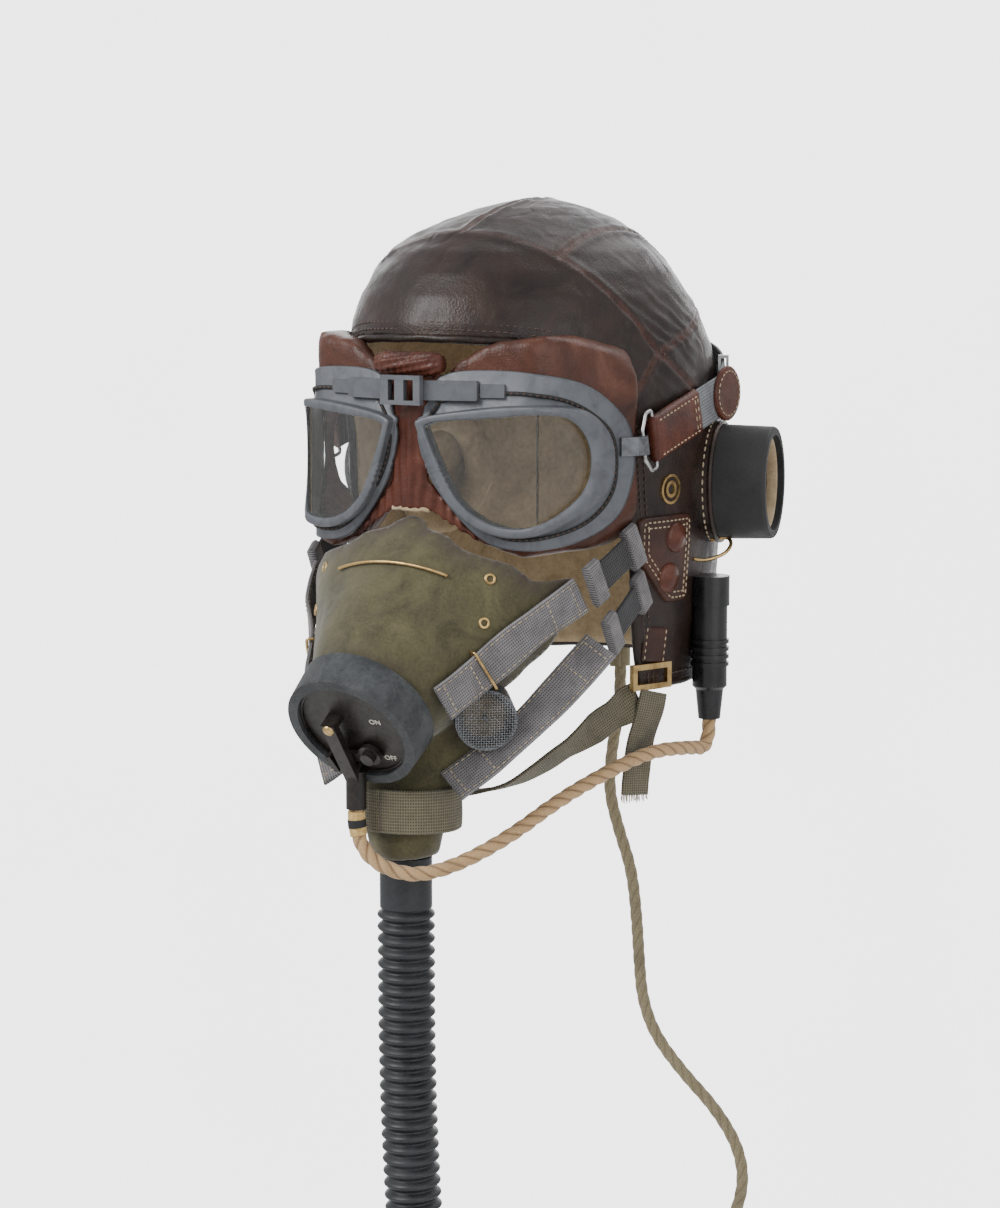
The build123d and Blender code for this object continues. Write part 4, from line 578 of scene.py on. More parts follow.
# Felts: dark and light colour, depth and fineness of the fibres
FELTS = {
    "chamois": ((0.30, 0.215, 0.12), (0.55, 0.43, 0.27), 0.12, 520),
    "mask_wool": ((0.038, 0.034, 0.015), (0.105, 0.094, 0.044), 0.18, 700),
    "valve_mica": ((0.16, 0.11, 0.06), (0.32, 0.23, 0.13), 0.12, 520),
}
# Rubbers: dark and dusty colour, roughness, depth of the specks
RUBBERS = {
    "black_rubber": ((0.007, 0.007, 0.0075), (0.028, 0.028, 0.029), 0.62, 0.05),
    "slate_rubber": ((0.018, 0.021, 0.023), (0.085, 0.090, 0.092), 0.70, 0.08),
    "hose_rubber": ((0.007, 0.008, 0.010), (0.024, 0.028, 0.031), 0.46, 0.05),
    "gloss_black": ((0.006, 0.006, 0.007), (0.020, 0.020, 0.022), 0.28, 0.02),
    "black_tape": ((0.008, 0.008, 0.009), (0.025, 0.024, 0.023), 0.75, 0.05),
}
# Metals: colour, tarnish, roughness and metallic share
METALS = {
    "frame_enamel": ((0.120, 0.127, 0.140), (0.082, 0.087, 0.096), 0.38, 0.35),
    "worn_brass": ((0.56, 0.39, 0.17), (0.22, 0.14, 0.06), 0.34, 1.0),
    "dull_nickel": ((0.58, 0.58, 0.57), (0.24, 0.23, 0.22), 0.28, 1.0),
    "grey_alloy": ((0.20, 0.21, 0.225), (0.085, 0.088, 0.092), 0.42, 1.0),
    "mesh_wire": ((0.30, 0.31, 0.32), (0.12, 0.12, 0.12), 0.40, 1.0),
}
# Threads: dark and light colour
THREADS = {
    "tan_thread": ((0.24, 0.18, 0.11), (0.56, 0.45, 0.30)),
    "brown_thread": ((0.030, 0.016, 0.011), (0.090, 0.048, 0.032)),
    "yellow_whipping": ((0.38, 0.23, 0.07), (0.66, 0.46, 0.17)),
    "pale_paint": ((0.42, 0.40, 0.34), (0.66, 0.63, 0.55)),
}
# Cord cottons: dark and light colour, then one colour for grime and for the painted shade between strands
COTTONS = {
    "tan_cord": ((0.34, 0.205, 0.09), (0.60, 0.40, 0.21), (0.12, 0.07, 0.035)),
    "khaki_cord": ((0.12, 0.098, 0.055), (0.30, 0.25, 0.15), (0.045, 0.036, 0.022)),
}
# Stains along seams: start and end in millimetres, strength, scale, detail and edge of the blotches, colour
STAINS = {
    "helmet_leather": (0.4, 3.0, 0.85, 320, 4, 0.65, (0.088, 0.032, 0.021)),
    "mask_wool": (0.0, 12.0, 0.8, 110, 5, 0.6, (0.042, 0.028, 0.027)),
}
# Solids that keep their own form, by material
NODE_PAINT = {
    "binding_leather": ["ear_rings"],
    "black_rubber": ["ear_cups", "mic_capsule"],
    "slate_rubber": ["mic_ring"],
    "gloss_black": ["jack_socket", "jack_plug", "lead_plug"],
    "bakelite": ["receivers", "mic_housing", "terminal_cover", "switch_lever"],
    "worn_brass": ["press_studs", "nose_wire", "chin_buckle"],
    "lens_glass": ["front_glass", "side_glass"],
    "frame_enamel": ["bridge_arms", "bridge_link"],
    "grey_alloy": ["strap_hooks", "exhaust_housing", "inlet_seat"],
    "dull_nickel": ["wire_rings", "strap_sliders", "hose_connector"],
    "valve_mica": ["exhaust_disc", "inlet_disc"],
    "khaki_cord": ["lead_gland"],
}
# the wearer's left turned into the right
FLIP = np.array([-1.0, 1.0, 1.0])


# Materials

class Shader:
    """A Principled material and the few procedural nodes that the looks are mixed from."""

    def __init__(self, name, **sockets):
        self.material = bpy.data.materials.new(name)
        self.material.use_nodes = True
        self.tree = self.material.node_tree
        self.base = self.tree.nodes["Principled BSDF"]
        for socket, value in sockets.items():
            self.base.inputs[socket.replace("_", " ")].default_value = value
        self.place = self.node("TexCoord").outputs["Object"]

    def node(self, kind, **inputs):
        """A new node; each input is a value or another node's output."""
        node = self.tree.nodes.new("ShaderNode" + kind)
        for name, value in inputs.items():
            self.join(value, node.inputs[name.replace("_", " ")])
        return node

    def join(self, value, socket):
        if isinstance(value, bpy.types.NodeSocket):
            self.tree.links.new(value, socket)
        else:
            socket.default_value = value

    def paint(self, socket, value):
        self.join(value, self.base.inputs[socket])

    def attribute(self, name, output="Fac"):
        node = self.node("Attribute")
        node.attribute_name = name
        return node.outputs[output]

    def stretched(self, scale):
        return self.node("Mapping", Vector=self.place, Scale=scale).outputs["Vector"]

    def noise(self, scale, detail=4.0, rough=0.55, vector=None, warp=0.0):
        values = {"Scale": scale, "Detail": detail, "Roughness": rough, "Distortion": warp}
        return self.node("TexNoise", Vector=vector or self.place, **values).outputs["Fac"]

    def cells(self, scale):
        return self.node("TexVoronoi", Vector=self.place, Scale=scale).outputs["Distance"]

    def wave(self, scale, direction, vector):
        node = self.node("TexWave", Vector=vector, Scale=scale)
        node.bands_direction = direction
        return node.outputs["Fac"]

    def sum(self, operation, first, second):
        node = self.node("Math")
        node.operation = operation
        self.join(first, node.inputs[0])
        self.join(second, node.inputs[1])
        return node.outputs[0]

    def span(self, value, low, high, to_low, to_high):
        values = {"From_Min": low, "From_Max": high, "To_Min": to_low, "To_Max": to_high}
        return self.node("MapRange", Value=value, **values).outputs["Result"]

    def ramp(self, value, stops):
        node = self.node("ValToRGB", Fac=value)
        marks = node.color_ramp.elements
        while len(marks) < len(stops):
            marks.new(0.5)
        for mark, (spot, colour) in zip(marks, stops):
            mark.position = spot
            mark.color = (*colour, 1)
        return node.outputs["Color"]

    def mix(self, share, first, second):
        node = self.node("Mix")
        node.data_type = "RGBA"
        for name, value in [("Factor", share), ("A", first), ("B", second)]:
            self.join((*value, 1) if isinstance(value, tuple) else value, node.inputs[name])
        return node.outputs["Result"]

    def bump(self, height, depth, under=None):
        node = self.node("Bump", Height=height, Strength=1.0, Distance=depth * MM)
        if under is not None:
            self.join(under, node.inputs["Normal"])
        return node.outputs["Normal"]


def leather(name, dark, middle, worn, rough, grain):
    """Waxed leather: pebbled grain, fine creases, rubbed and faded patches."""
    s = Shader(name, Coat_Weight=0.06, Coat_Roughness=0.3, Specular_IOR_Level=0.28)
    colour = s.ramp(s.noise(38, 6, 0.6, warp=0.6), [(0.32, dark), (0.55, middle), (0.78, worn)])
    rubbed = s.span(s.noise(150, 5, 0.65), 0.62, 0.76, 0, 0.55)
    s.paint("Base Color", s.mix(rubbed, colour, worn))
    s.paint("Roughness", s.span(s.noise(90, 5), 0.3, 0.7, rough - 0.08, rough + 0.12))
    creases = s.noise(260, 6, 0.7, vector=s.stretched((1.0, 1.0, 0.45)), warp=1.2)
    s.paint("Normal", s.bump(creases, 2.2 * grain, s.bump(s.cells(950), grain)))
    return s


def weave(name, dark, light, threads, dirt):
    """Woven cloth: crossing threads by the strap's own length and width, with grime."""
    s = Shader(name, Roughness=0.9, Sheen_Weight=0.15, Sheen_Roughness=0.5)
    run = s.attribute("weave", "Vector")
    woven = s.sum("MAXIMUM", s.wave(threads, "X", run), s.wave(threads * 0.8, "Y", run))
    uneven = s.span(s.noise(130, 5, 0.6), 0.2, 0.8, 0.55, 1.1)
    colour = s.ramp(s.sum("MULTIPLY", woven, uneven), [(0.2, dark), (0.9, light)])
    grime = s.span(s.noise(45, 6, 0.65, warp=0.8), 0.5, 0.75, 0.0, 0.65)
    s.paint("Base Color", s.mix(grime, colour, dirt))
    s.paint("Normal", s.bump(s.noise(900, 3), 0.10, s.bump(woven, 0.30)))
    return s


def felt(name, dark, light, depth, scale):
    """Soft cloth without a clear weave, such as chamois or the mask's wool."""
    s = Shader(name, Roughness=0.95, Sheen_Weight=0.35, Sheen_Roughness=0.45)
    clouds = s.noise(55, 6, 0.65, warp=0.7)
    fibres = s.noise(scale, 6, 0.75)
    value = s.sum("ADD", s.sum("MULTIPLY", clouds, 0.6), s.sum("MULTIPLY", fibres, 0.4))
    s.paint("Base Color", s.ramp(value, [(0.36, dark), (0.64, light)]))
    s.paint("Normal", s.bump(fibres, depth))
    return s


def rubber(name, dark, dusty, rough, depth):
    """Rubber or moulding with settled dust and fine specks."""
    s = Shader(name)
    dust = s.noise(70, 7, 0.7, warp=0.5)
    specks = s.noise(700, 4, 0.8)
    share = s.span(s.sum("ADD", dust, s.sum("MULTIPLY", specks, 0.35)), 0.55, 0.95, 0.0, 1.0)
    s.paint("Base Color", s.mix(share, dark, dusty))
    s.paint("Roughness", s.span(dust, 0.3, 0.7, rough - 0.12, rough + 0.18))
    s.paint("Normal", s.bump(specks, depth))
    return s


def metal(name, colour, tarnish, rough, metallic):
    """Metal or enamel with tarnish in patches and fine scratches."""
    s = Shader(name, Metallic=metallic)
    share = s.span(s.noise(120, 6, 0.65, warp=0.6), 0.45, 0.72, 0.0, 1.0)
    s.paint("Base Color", s.mix(share, colour, tarnish))
    s.paint("Roughness", s.span(s.noise(240, 6, 0.7), 0.25, 0.75, rough - 0.1, rough + 0.22))
    s.paint("Normal", s.bump(s.noise(180, 5, 0.7, vector=s.stretched((1.0, 1.0, 14.0))), 0.03))
    return s


def thread(name, dark, light):
    s = Shader(name, Roughness=0.85, Sheen_Weight=0.2)
    s.paint("Base Color", s.ramp(s.noise(600, 4), [(0.3, dark), (0.7, light)]))
    s.paint("Normal", s.bump(s.noise(2500, 2), 0.04))
    return s


def cotton(name, dark, light, grime):
    """Cotton over a cord: the strands are in the mesh; painted shade in the grime colour darkens the grooves between
    them, and grime lies in random patches.
    """
    s = Shader(name, Roughness=0.92, Sheen_Weight=0.2)
    fibres = s.noise(1500, 4, 0.8)
    colour = s.ramp(fibres, [(0.3, dark), (0.7, light)])
    # painted shade: the grooves between strands are darkened toward the grime colour
    colour = s.mix(s.span(s.attribute("hollow_shade"), 0.35, 0.95, 0.0, 0.85), colour, grime)
    s.paint("Base Color", s.mix(s.span(s.noise(60, 5, 0.6), 0.5, 0.8, 0.0, 0.45), colour, grime))
    s.paint("Normal", s.bump(fibres, 0.05))
    return s


def bakelite():
    s = Shader("bakelite", Coat_Weight=0.08, Coat_Roughness=0.2, Specular_IOR_Level=0.35)
    mottle = s.noise(160, 6, 0.7, warp=1.0)
    s.paint("Base Color", s.ramp(mottle, [(0.3, (0.006, 0.005, 0.0045)), (0.7, (0.024, 0.018, 0.015))]))
    s.paint("Roughness", s.span(s.noise(300, 6, 0.75), 0.3, 0.7, 0.26, 0.55))
    s.paint("Normal", s.bump(s.noise(1200, 3), 0.02))
    return s


def glass():
    s = Shader("lens_glass", Transmission_Weight=1.0, IOR=1.5)
    smears = s.noise(60, 6, 0.6, warp=1.5)
    dust = s.sum("MULTIPLY", s.noise(400, 7, 0.75), smears)
    s.paint("Roughness", s.span(dust, 0.15, 0.45, 0.0, 0.05))
    s.paint("Base Color", s.ramp(smears, [(0.3, (0.93, 0.95, 0.94)), (0.8, (0.84, 0.86, 0.84))]))
    return s


def stain(s, low, high, share, scale, detail, edge, colour):
    """Blotches of another colour near each seam or edge."""
    base = s.base.inputs["Base Color"].links[0].from_socket
    near = s.span(s.attribute("seam"), low * MM, high * MM, share, 0.0)
    blotches = s.span(s.noise(scale, detail), 0.35, edge, 0.25, 1.0)
    s.paint("Base Color", s.mix(s.sum("MULTIPLY", near, blotches), base, colour))


def make_materials():
    """Every material by its name."""
    makers = [(leather, LEATHERS), (weave, WEAVES), (felt, FELTS), (rubber, RUBBERS), (metal, METALS)]
    makers += [(thread, THREADS), (cotton, COTTONS)]
    made = {name: maker(name, *values) for maker, table in makers for name, values in table.items()}
    made.update({"bakelite": bakelite(), "lens_glass": glass()})
    for name, values in STAINS.items():
        stain(made[name], *values)
    return {name: s.material for name, s in made.items()}


def paint_nodes():
    """Materials on the solids that keep their own form."""
    for material, nodes in NODE_PAINT.items():
        for node in nodes:
            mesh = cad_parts[node].data
            mesh.materials.clear()
            mesh.materials.append(paint[material])


# Lines

def unit(vectors):
    """Each vector at length one."""
    vectors = np.asarray(vectors, float)
    return vectors / np.linalg.norm(vectors, axis=-1, keepdims=True)


def turns(count, closed=False):
    """Angles round a full turn; closed repeats the first at the end."""
    return np.linspace(0, 2 * math.pi, count, endpoint=closed)


def way_along(points):
    """How far along its line each point is."""
    return np.concatenate([[0], np.cumsum(np.linalg.norm(np.diff(points, axis=0), axis=1))])


def read_off(places, way, points):
    """Points of a line at given places along it."""
    return np.stack([np.interp(places, way, column) for column in np.transpose(points)], axis=-1)


def resample(dense, step):
    """The same line with its points one step apart."""
    way = way_along(dense)
    count = max(2, int(round(way[-1] / step)) + 1)
    return read_off(np.linspace(0, way[-1], count), way, dense)


def smooth_path(points, step):
    """Evenly spaced points on a soft curve through the given ones."""
    points = np.asarray(points, float)
    padded = np.vstack([2 * points[0] - points[1], points, 2 * points[-1] - points[-2]])
    dense = []
    for index in range(1, len(padded) - 2):
        p0, p1, p2, p3 = padded[index - 1:index + 3]
        for t in np.linspace(0, 1, 24, endpoint=False):
            dense.append(0.5 * (2 * p1 + (p2 - p0) * t + (2 * p0 - 5 * p1 + 4 * p2 - p3) * t ** 2
                                + (3 * p1 - p0 - 3 * p2 + p3) * t ** 3))
    dense.append(points[-1])
    return resample(np.array(dense), step)


def spline_line(route, step):
    """Points along the route's own spline, which the cord follows."""
    curve = bpy.data.curves.new("route", "CURVE")
    curve.dimensions = "3D"
    curve.resolution_u = 24
    spline = curve.splines.new("NURBS")
    spline.points.add(len(route) - 1)
    for point, place in zip(spline.points, route):
        point.co = (*place, 1)
    spline.order_u = 3
    spline.use_endpoint_u = True
    holder = bpy.data.objects.new("route", curve)
    mesh = bpy.data.meshes.new_from_object(holder)
    dense = mesh_points(mesh)
    bpy.data.objects.remove(holder)
    bpy.data.curves.remove(curve)
    bpy.data.meshes.remove(mesh)
    return resample(dense, step)


def circle(centre, x_dir, y_dir, radius, angles):
    """Points on a circle."""
    return centre + radius * (np.outer(np.cos(angles), x_dir) + np.outer(np.sin(angles), y_dir))


def both_sides(points, outs):
    """A line and its ways out, on the wearer's left and right."""
    outs = np.broadcast_to(outs, points.shape)
    return [(points, outs), (points * FLIP, outs * FLIP)]


def axes_for(origin, normal):
    """A frame whose third direction is the normal."""
    z_dir = unit(normal)
    x_dir = unit(np.cross((0, 0, 1), z_dir))
    return np.asarray(origin, float), x_dir, np.cross(z_dir, x_dir), z_dir


def frames(path):
    """Two cross directions at each point, turning as little as possible."""
    tangents = unit(np.gradient(path, axis=0))
    side = np.cross(tangents[0], (0.31, 0.95, 0.02))
    sides = []
    for tangent in tangents:
        side = unit(side - tangent * side.dot(tangent))
        sides.append(side)
    return np.array(sides), np.cross(tangents, sides)


def ripple(point, sizes):
    """Smooth noise with swells of these sizes."""
    return noise.noise(Vector(point / np.asarray(sizes)))


def folds(point, waves):
    """Waves of given heights and sizes on top of each other."""
    return sum(height * ripple(point, sizes) for height, sizes in waves)


# Meshes

def mesh_points(mesh):
    return np.array([v.co for v in mesh.vertices], float)


def mesh_normals(mesh):
    return np.array([v.normal for v in mesh.vertices], float)


def new_mesh(name, verts, faces):
    mesh = bpy.data.meshes.new(name)
    mesh.from_pydata([tuple(v) for v in verts], [], faces)
    return mesh


def new_object(name, data):
    made = bpy.data.objects.new(name, data)
    bpy.context.scene.collection.objects.link(made)
    return made


def finish_piece(piece, material, body, replaces=()):
    """Give a piece its material, its body and the solids that it stands for."""
    piece.data.materials.append(paint[material])
    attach(piece, body)
    if replaces:
        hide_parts(*replaces)
    return piece


def add_mesh(name, verts, faces, material, body, slot, replaces=(), attributes=None):
    """One finished piece from points in millimetres."""
    mesh = new_mesh(name, np.asarray(verts, float) * MM, faces)
    for key, values in (attributes or {}).items():
        values = np.asarray(values, np.float32)
        kind, field = ("FLOAT", "value") if values.ndim == 1 else ("FLOAT_VECTOR", "vector")
        mesh.attributes.new(key, kind, "POINT").data.foreach_set(field, values.ravel())
    mesh.validate()
    clean(mesh)
    mesh.shade_smooth()
    return finish_piece(new_object(name, mesh), material, body, replaces)


def clean(mesh, weld=0.0):
    """Merge points that meet and turn every face outward."""
    work = bmesh.new()
    work.from_mesh(mesh)
    if weld:
        bmesh.ops.remove_doubles(work, verts=work.verts, dist=weld)
    bmesh.ops.recalc_face_normals(work, faces=work.faces)
    work.to_mesh(mesh)
    work.free()


def grid_faces(rows, columns, around=False):
    """Quads over rows of points; around closes each row on itself."""
    faces = []
    for row in range(rows - 1):
        for column in range(columns if around else columns - 1):
            beside = (column + 1) % columns
            low = row * columns
            high = low + columns
            faces.append((low + column, low + beside, high + beside, high + column))
    return faces


def end_caps(around, total):
    """The two end faces of a form made of rows of points."""
    return [tuple(range(around)), tuple(reversed(range(total - around, total)))]


def joined(parts):
    """Several forms as one."""
    verts, faces, start = [], [], 0
    for points, shell in parts:
        verts.append(points)
        faces += [tuple(start + index for index in face) for face in shell]
        start += len(points)
    return np.concatenate(verts), faces


def mirrored(verts, faces):
    """The form and the same form on the wearer's other side."""
    return joined([(verts, faces), (verts * FLIP, [face[::-1] for face in faces])])


def sweep(path, radius, sides=24, closed=False):
    """A tube along a path. radius is a number, or a function of way and angle."""
    angles = turns(sides)
    first, second = frames(path)
    reach = radius(way_along(path)[:, None], angles[None, :]) if callable(radius) else radius
    reach = np.broadcast_to(reach, (len(path), sides))[:, :, None]
    around = np.cos(angles)[None, :, None] * first[:, None, :] + np.sin(angles)[None, :, None] * second[:, None, :]
    verts = (path[:, None, :] + around * reach).reshape(-1, 3)
    faces = grid_faces(len(path), sides, around=True)
    last = len(verts) - sides
    if closed:
        return verts, faces + [(last + i, last + (i + 1) % sides, (i + 1) % sides, i) for i in range(sides)]
    return verts, faces + end_caps(sides, len(verts))


def bead(radius, height, wide, tall):
    """The section of a rounded ring, for a lathe."""
    return [(radius + wide * math.cos(a), height + tall * math.sin(a)) for a in turns(13, closed=True)]


def lathe(profile, place, sides):
    """A turned form: profile gives radius and height, place is origin and three directions."""
    origin, x_dir, y_dir, z_dir = place
    rows = [circle(origin + z_dir * height, x_dir, y_dir, radius, turns(sides)) for radius, height in profile]
    return np.concatenate(rows), grid_faces(len(profile), sides, around=True)


def strap_course(rows, step):
    """A strap's middle line, the direction of its width, its outward direction and the way along it."""
    points, sides = zip(*rows)
    path = smooth_path(points, step)
    across = read_off(np.linspace(0, 1, len(path)), np.linspace(0, 1, len(rows)), sides)
    tangents = unit(np.gradient(path, axis=0))
    across = unit(across - tangents * np.sum(across * tangents, axis=1)[:, None])
    return path, across, np.cross(tangents, across), way_along(path)


def flat_outline(width, thick):
    """A strap's cross-section: flat faces and round edges."""
    half, deep = width / 2 - thick / 2, thick / 2
    points = []
    for sign, start in [(1, -60), (-1, 120)]:
        points += [(wide, -sign * deep) for wide in np.linspace(-sign * half, sign * half, 9)]
        for turn in np.radians(np.linspace(start, start + 120, 3)):
            points.append((sign * half + deep * math.cos(turn), deep * math.sin(turn)))
    return points


def add_strap(name, rows, width, thick, cloth, replaces=(), both=True, rippled=WEB_RIPPLE, seed=0.0,
              step=STRAP_STEP, body="helmet"):
    """A flat strap with round edges along rows of points and width directions."""
    path, across, normal, way = strap_course(rows, step)
    outline = flat_outline(width, thick)
    verts, runs = [], []
    for index, spot in enumerate(path):
        for wide, deep in outline:
            wave = rippled * noise.noise(Vector((way[index] / 14, wide / 9, seed)))
            verts.append(spot + across[index] * wide + normal[index] * (deep + wave))
            runs.append((way[index] * MM, wide * MM, 0))
    verts = np.array(verts)
    faces = grid_faces(len(path), len(outline), around=True) + end_caps(len(outline), len(verts))
    if both:
        verts, faces = mirrored(verts, faces)
        runs = runs + runs
    material, slot = cloth
    return add_mesh(name, verts, faces, material, body, slot, replaces, {"weave": runs})


def strap_edges(rows, width, thick, inward):
    """Rows of stitches near both edges of a strap, on both of its faces."""
    path, across, normal, _ = strap_course(rows, 1.5)
    lines = []
    for side in [-1, 1]:
        for face in [-1, 1]:
            points = path + across * side * (width / 2 - inward) + normal * face * thick / 2
            lines += both_sides(points, normal * face)
    return lines


def stitches(name, lines):
    """Short raised threads along lines; each line is points and the way out at each."""
    thread_name, body, length, gap, radius, lift = STITCHES[name]
    ring = [(math.cos(a), math.sin(a)) for a in turns(6)]
    template = np.array([(along, u * size, v * size) for along, size in STITCH_SHARES for u, v in ring])
    shell = grid_faces(len(STITCH_SHARES), len(ring), around=True) + end_caps(len(ring), len(template))
    parts = []
    for points, outs in lines:
        way = way_along(points)
        count = int(way[-1] / (length + gap))
        for index in range(count):
            middle = (index + 0.5) * way[-1] / count
            start, end = read_off([middle - length / 2, middle + length / 2], way, points)
            run = end - start
            if np.linalg.norm(run) < radius:
                continue
            ahead = unit(run)
            out = read_off(middle, way, outs)
            out = unit(out - ahead * out.dot(ahead))
            side = np.cross(ahead, out)
            centre = (start + end) / 2 + out * lift
            parts.append((centre + template @ np.array([run, side * radius, out * radius]), shell))
    verts, faces = joined(parts)
    add_mesh(name, verts, faces, thread_name, body, "brown_leather")


def thicken(piece, thick, outward=-1.0):
    """Give a skin its wall."""
    modifier = piece.modifiers.new("wall", "SOLIDIFY")
    modifier.thickness = thick * MM
    modifier.offset = outward


def remesh(piece, voxel, rounds):
    """Rebuild a closed form as an even, rounded mesh."""
    modifier = piece.modifiers.new("remesh", "REMESH")
    modifier.mode = "VOXEL"
    modifier.voxel_size = voxel * MM
    piece.modifiers.new("smooth", "SMOOTH").iterations = rounds
    bpy.context.view_layer.update()
    graph = bpy.context.evaluated_depsgraph_get()
    mesh = bpy.data.meshes.new_from_object(piece.evaluated_get(graph))
    piece.modifiers.clear()
    piece.data = mesh


def inflate(piece, pressure, cap):
    """Let the cover swell like a stuffed cushion, by no more than a cap in millimetres."""
    before = mesh_points(piece.data)
    cloth = piece.modifiers.new("cloth", "CLOTH")
    cloth.settings.use_pressure = True
    cloth.settings.uniform_pressure_force = pressure
    cloth.settings.effector_weights.gravity = 0
    cloth.settings.tension_stiffness = 20
    cloth.settings.bending_stiffness = 2
    scene = bpy.context.scene
    for step in range(1, 16):
        scene.frame_set(step)
    graph = bpy.context.evaluated_depsgraph_get()
    move = mesh_points(bpy.data.meshes.new_from_object(piece.evaluated_get(graph))) - before
    piece.modifiers.clear()
    scene.frame_set(1)
    far = np.linalg.norm(move, axis=1)[:, None]
    move *= np.minimum(1, cap * MM / np.maximum(far, cap * MM / 1000))
    piece.data.vertices.foreach_set("co", (before + move).ravel())
    piece.data.update()


def displace(piece, height):
    """Move each point along its own way out by a height in millimetres."""
    points = mesh_points(piece.data)
    lifts = np.array([height(point / MM) for point in points])
    moved = points + mesh_normals(piece.data) * lifts[:, None] * MM
    piece.data.vertices.foreach_set("co", moved.ravel())
    piece.data.update()


def soft_copy(name, height):
    """A soft form grown from a solid: remeshed, rounded, swollen and creased."""
    node, material, slot, body, voxel, rounds, swell, cap = SOFT_FORMS[name]
    piece = new_object(name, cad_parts[node].data.copy())
    piece.data.materials.clear()
    remesh(piece, voxel, rounds)
    if swell:
        inflate(piece, swell, cap)
    displace(piece, height)
    piece.data.shade_smooth()
    return finish_piece(piece, material, body, [node])


def nearest(points, marks):
    """Distance from each point to the nearest mark."""
    tree = KDTree(len(marks))
    for index, mark in enumerate(marks):
        tree.insert(Vector(mark), index)
    tree.balance()
    return np.array([tree.find(Vector(point))[2] for point in points])


# The head's surface

LEVELS = np.array(HEAD_SHARES + [(1.0, 0.0, 0.0)])


def head_levels(z):
    """Breadth and forward lean at a height."""
    share = np.asarray(z, float) / APEX_Z
    heights, breadths, leans = LEVELS[:-1].T
    return np.interp(share, heights, breadths), np.interp(share, heights, leans)


def head_x(y, z, out):
    """How far to the side the surface is, at a place in the side view."""
    breadth, lean = head_levels(z)
    across = (np.asarray(y, float) + lean * HALF_DEPTH) / ((HALF_DEPTH + out) * breadth)
    return (HALF_WIDTH + out) * breadth * np.sqrt(np.clip(1 - across ** 2, 0, 1))


def head_at(turn, z, out):
    """A point by its turn from the front toward the wearer's left, and its height."""
    breadth, lean = head_levels(z)
    x = (HALF_WIDTH + out) * breadth * np.sin(turn)
    y = -lean * HALF_DEPTH - (HALF_DEPTH + out) * breadth * np.cos(turn)
    return np.stack([x, y, np.broadcast_to(z, np.shape(x))], axis=-1)


def head_z(x, y, out):
    """The height of the dome over a place seen from above."""
    low, high = DOME_LOW_Z, APEX_Z
    for _ in range(30):
        middle = (low + high) / 2
        breadth, lean = head_levels(middle)
        inside = (x / ((HALF_WIDTH + out) * breadth)) ** 2
        inside += ((y + lean * HALF_DEPTH) / ((HALF_DEPTH + out) * breadth)) ** 2
        low, high = (middle, high) if inside < 1 else (low, middle)
    return (low + high) / 2 * (APEX_Z + out) / APEX_Z


def way_out(points):
    """The surface's outward direction near each point."""
    _, lean = head_levels(points[:, 2])
    out = points + np.outer(lean, (0, HALF_DEPTH, 0))
    out /= np.array([HALF_WIDTH, HALF_DEPTH, APEX_Z]) ** 2
    out[points[:, 2] < 0, 2] *= NECK_FLARE_SHARE
    return unit(out)


def edge_turn(z):
    """Where the face opening cuts the surface at a height; nothing above the brow."""
    y = np.interp(z, *zip(*OPENING_EDGE))
    breadth, lean = head_levels(z)
    cosine = -(y + lean * HALF_DEPTH) / (HALF_DEPTH * breadth)
    return np.where(np.asarray(z) >= BROW_Z, 0.0, np.arccos(np.clip(cosine, -1, 1)))


def head_rows(step):
    """Heights for rows of points that are evenly spaced over the surface, with one along the brow."""
    z = LEVELS[:, 0] * APEX_Z
    way = way_along(np.column_stack([z, LEVELS[:, 1] * HALF_WIDTH]))
    start = np.interp(NECK_Z, z[:-1], way[:-1])
    heights = np.interp(np.linspace(start, way[-2], int((way[-2] - start) / step)), way, z)
    heights[np.argmin(np.abs(heights - BROW_Z))] = BROW_Z
    return heights


def head_shell(step, out):
    """Points and faces of a whole skin over the head, open at the face."""
    heights = head_rows(step)
    columns = int(2 * math.pi * HALF_DEPTH / step)
    even = turns(columns, closed=True)
    verts = []
    for z in heights:
        edge = float(edge_turn(z))
        row = head_at(np.clip(even, edge, 2 * math.pi - edge), z, out)
        row[:, 2] += out * max(z, 0) / APEX_Z
        verts.append(row)
    verts = np.concatenate(verts)
    top = len(verts)
    last = top - columns
    faces = grid_faces(len(heights), columns)
    faces += [(last + column, last + column + 1, top) for column in range(columns - 1)]
    return np.vstack([verts, [0, 0, APEX_Z + out]]), faces


def seam_lines(offset, out):
    """Every seam as points on the surface, moved sideways by an offset; the left half only."""
    lines = []
    start = np.array(JUNCTION)
    for end in [BROW_SEAM, TEMPLE_SEAM, REAR_SEAM, EAR_SEAM]:
        run = np.array(end) - start
        ahead = unit(run)
        beside = np.array([-ahead[1], ahead[0]]) * offset
        y, z = (start + beside + np.linspace(0, 1, 900)[:, None] * run).T
        points = np.stack([head_x(y, z, out), y, z], 1)
        lines.append(resample(points[(points[:, 0] > SEAM_CLEAR) & (z < APEX_Z)], SEAM_STEP))
    for x in [CROSS_SEAM_X + offset, offset]:
        points = []
        for y in np.linspace(-CREST_HALF_Y, CREST_HALF_Y, 240):
            z = head_z(x, y, out)
            front = np.interp(z, *zip(*[(JUNCTION[1], JUNCTION[0]), (BROW_SEAM[1], BROW_SEAM[0])]))
            rear = JUNCTION[1] + (y - JUNCTION[0]) * (REAR_SEAM[1] - JUNCTION[1]) / (REAR_SEAM[0] - JUNCTION[0])
            if y > front and z > rear:
                points.append((x, y, z))
        lines.append(resample(points, SEAM_STEP))
    return lines


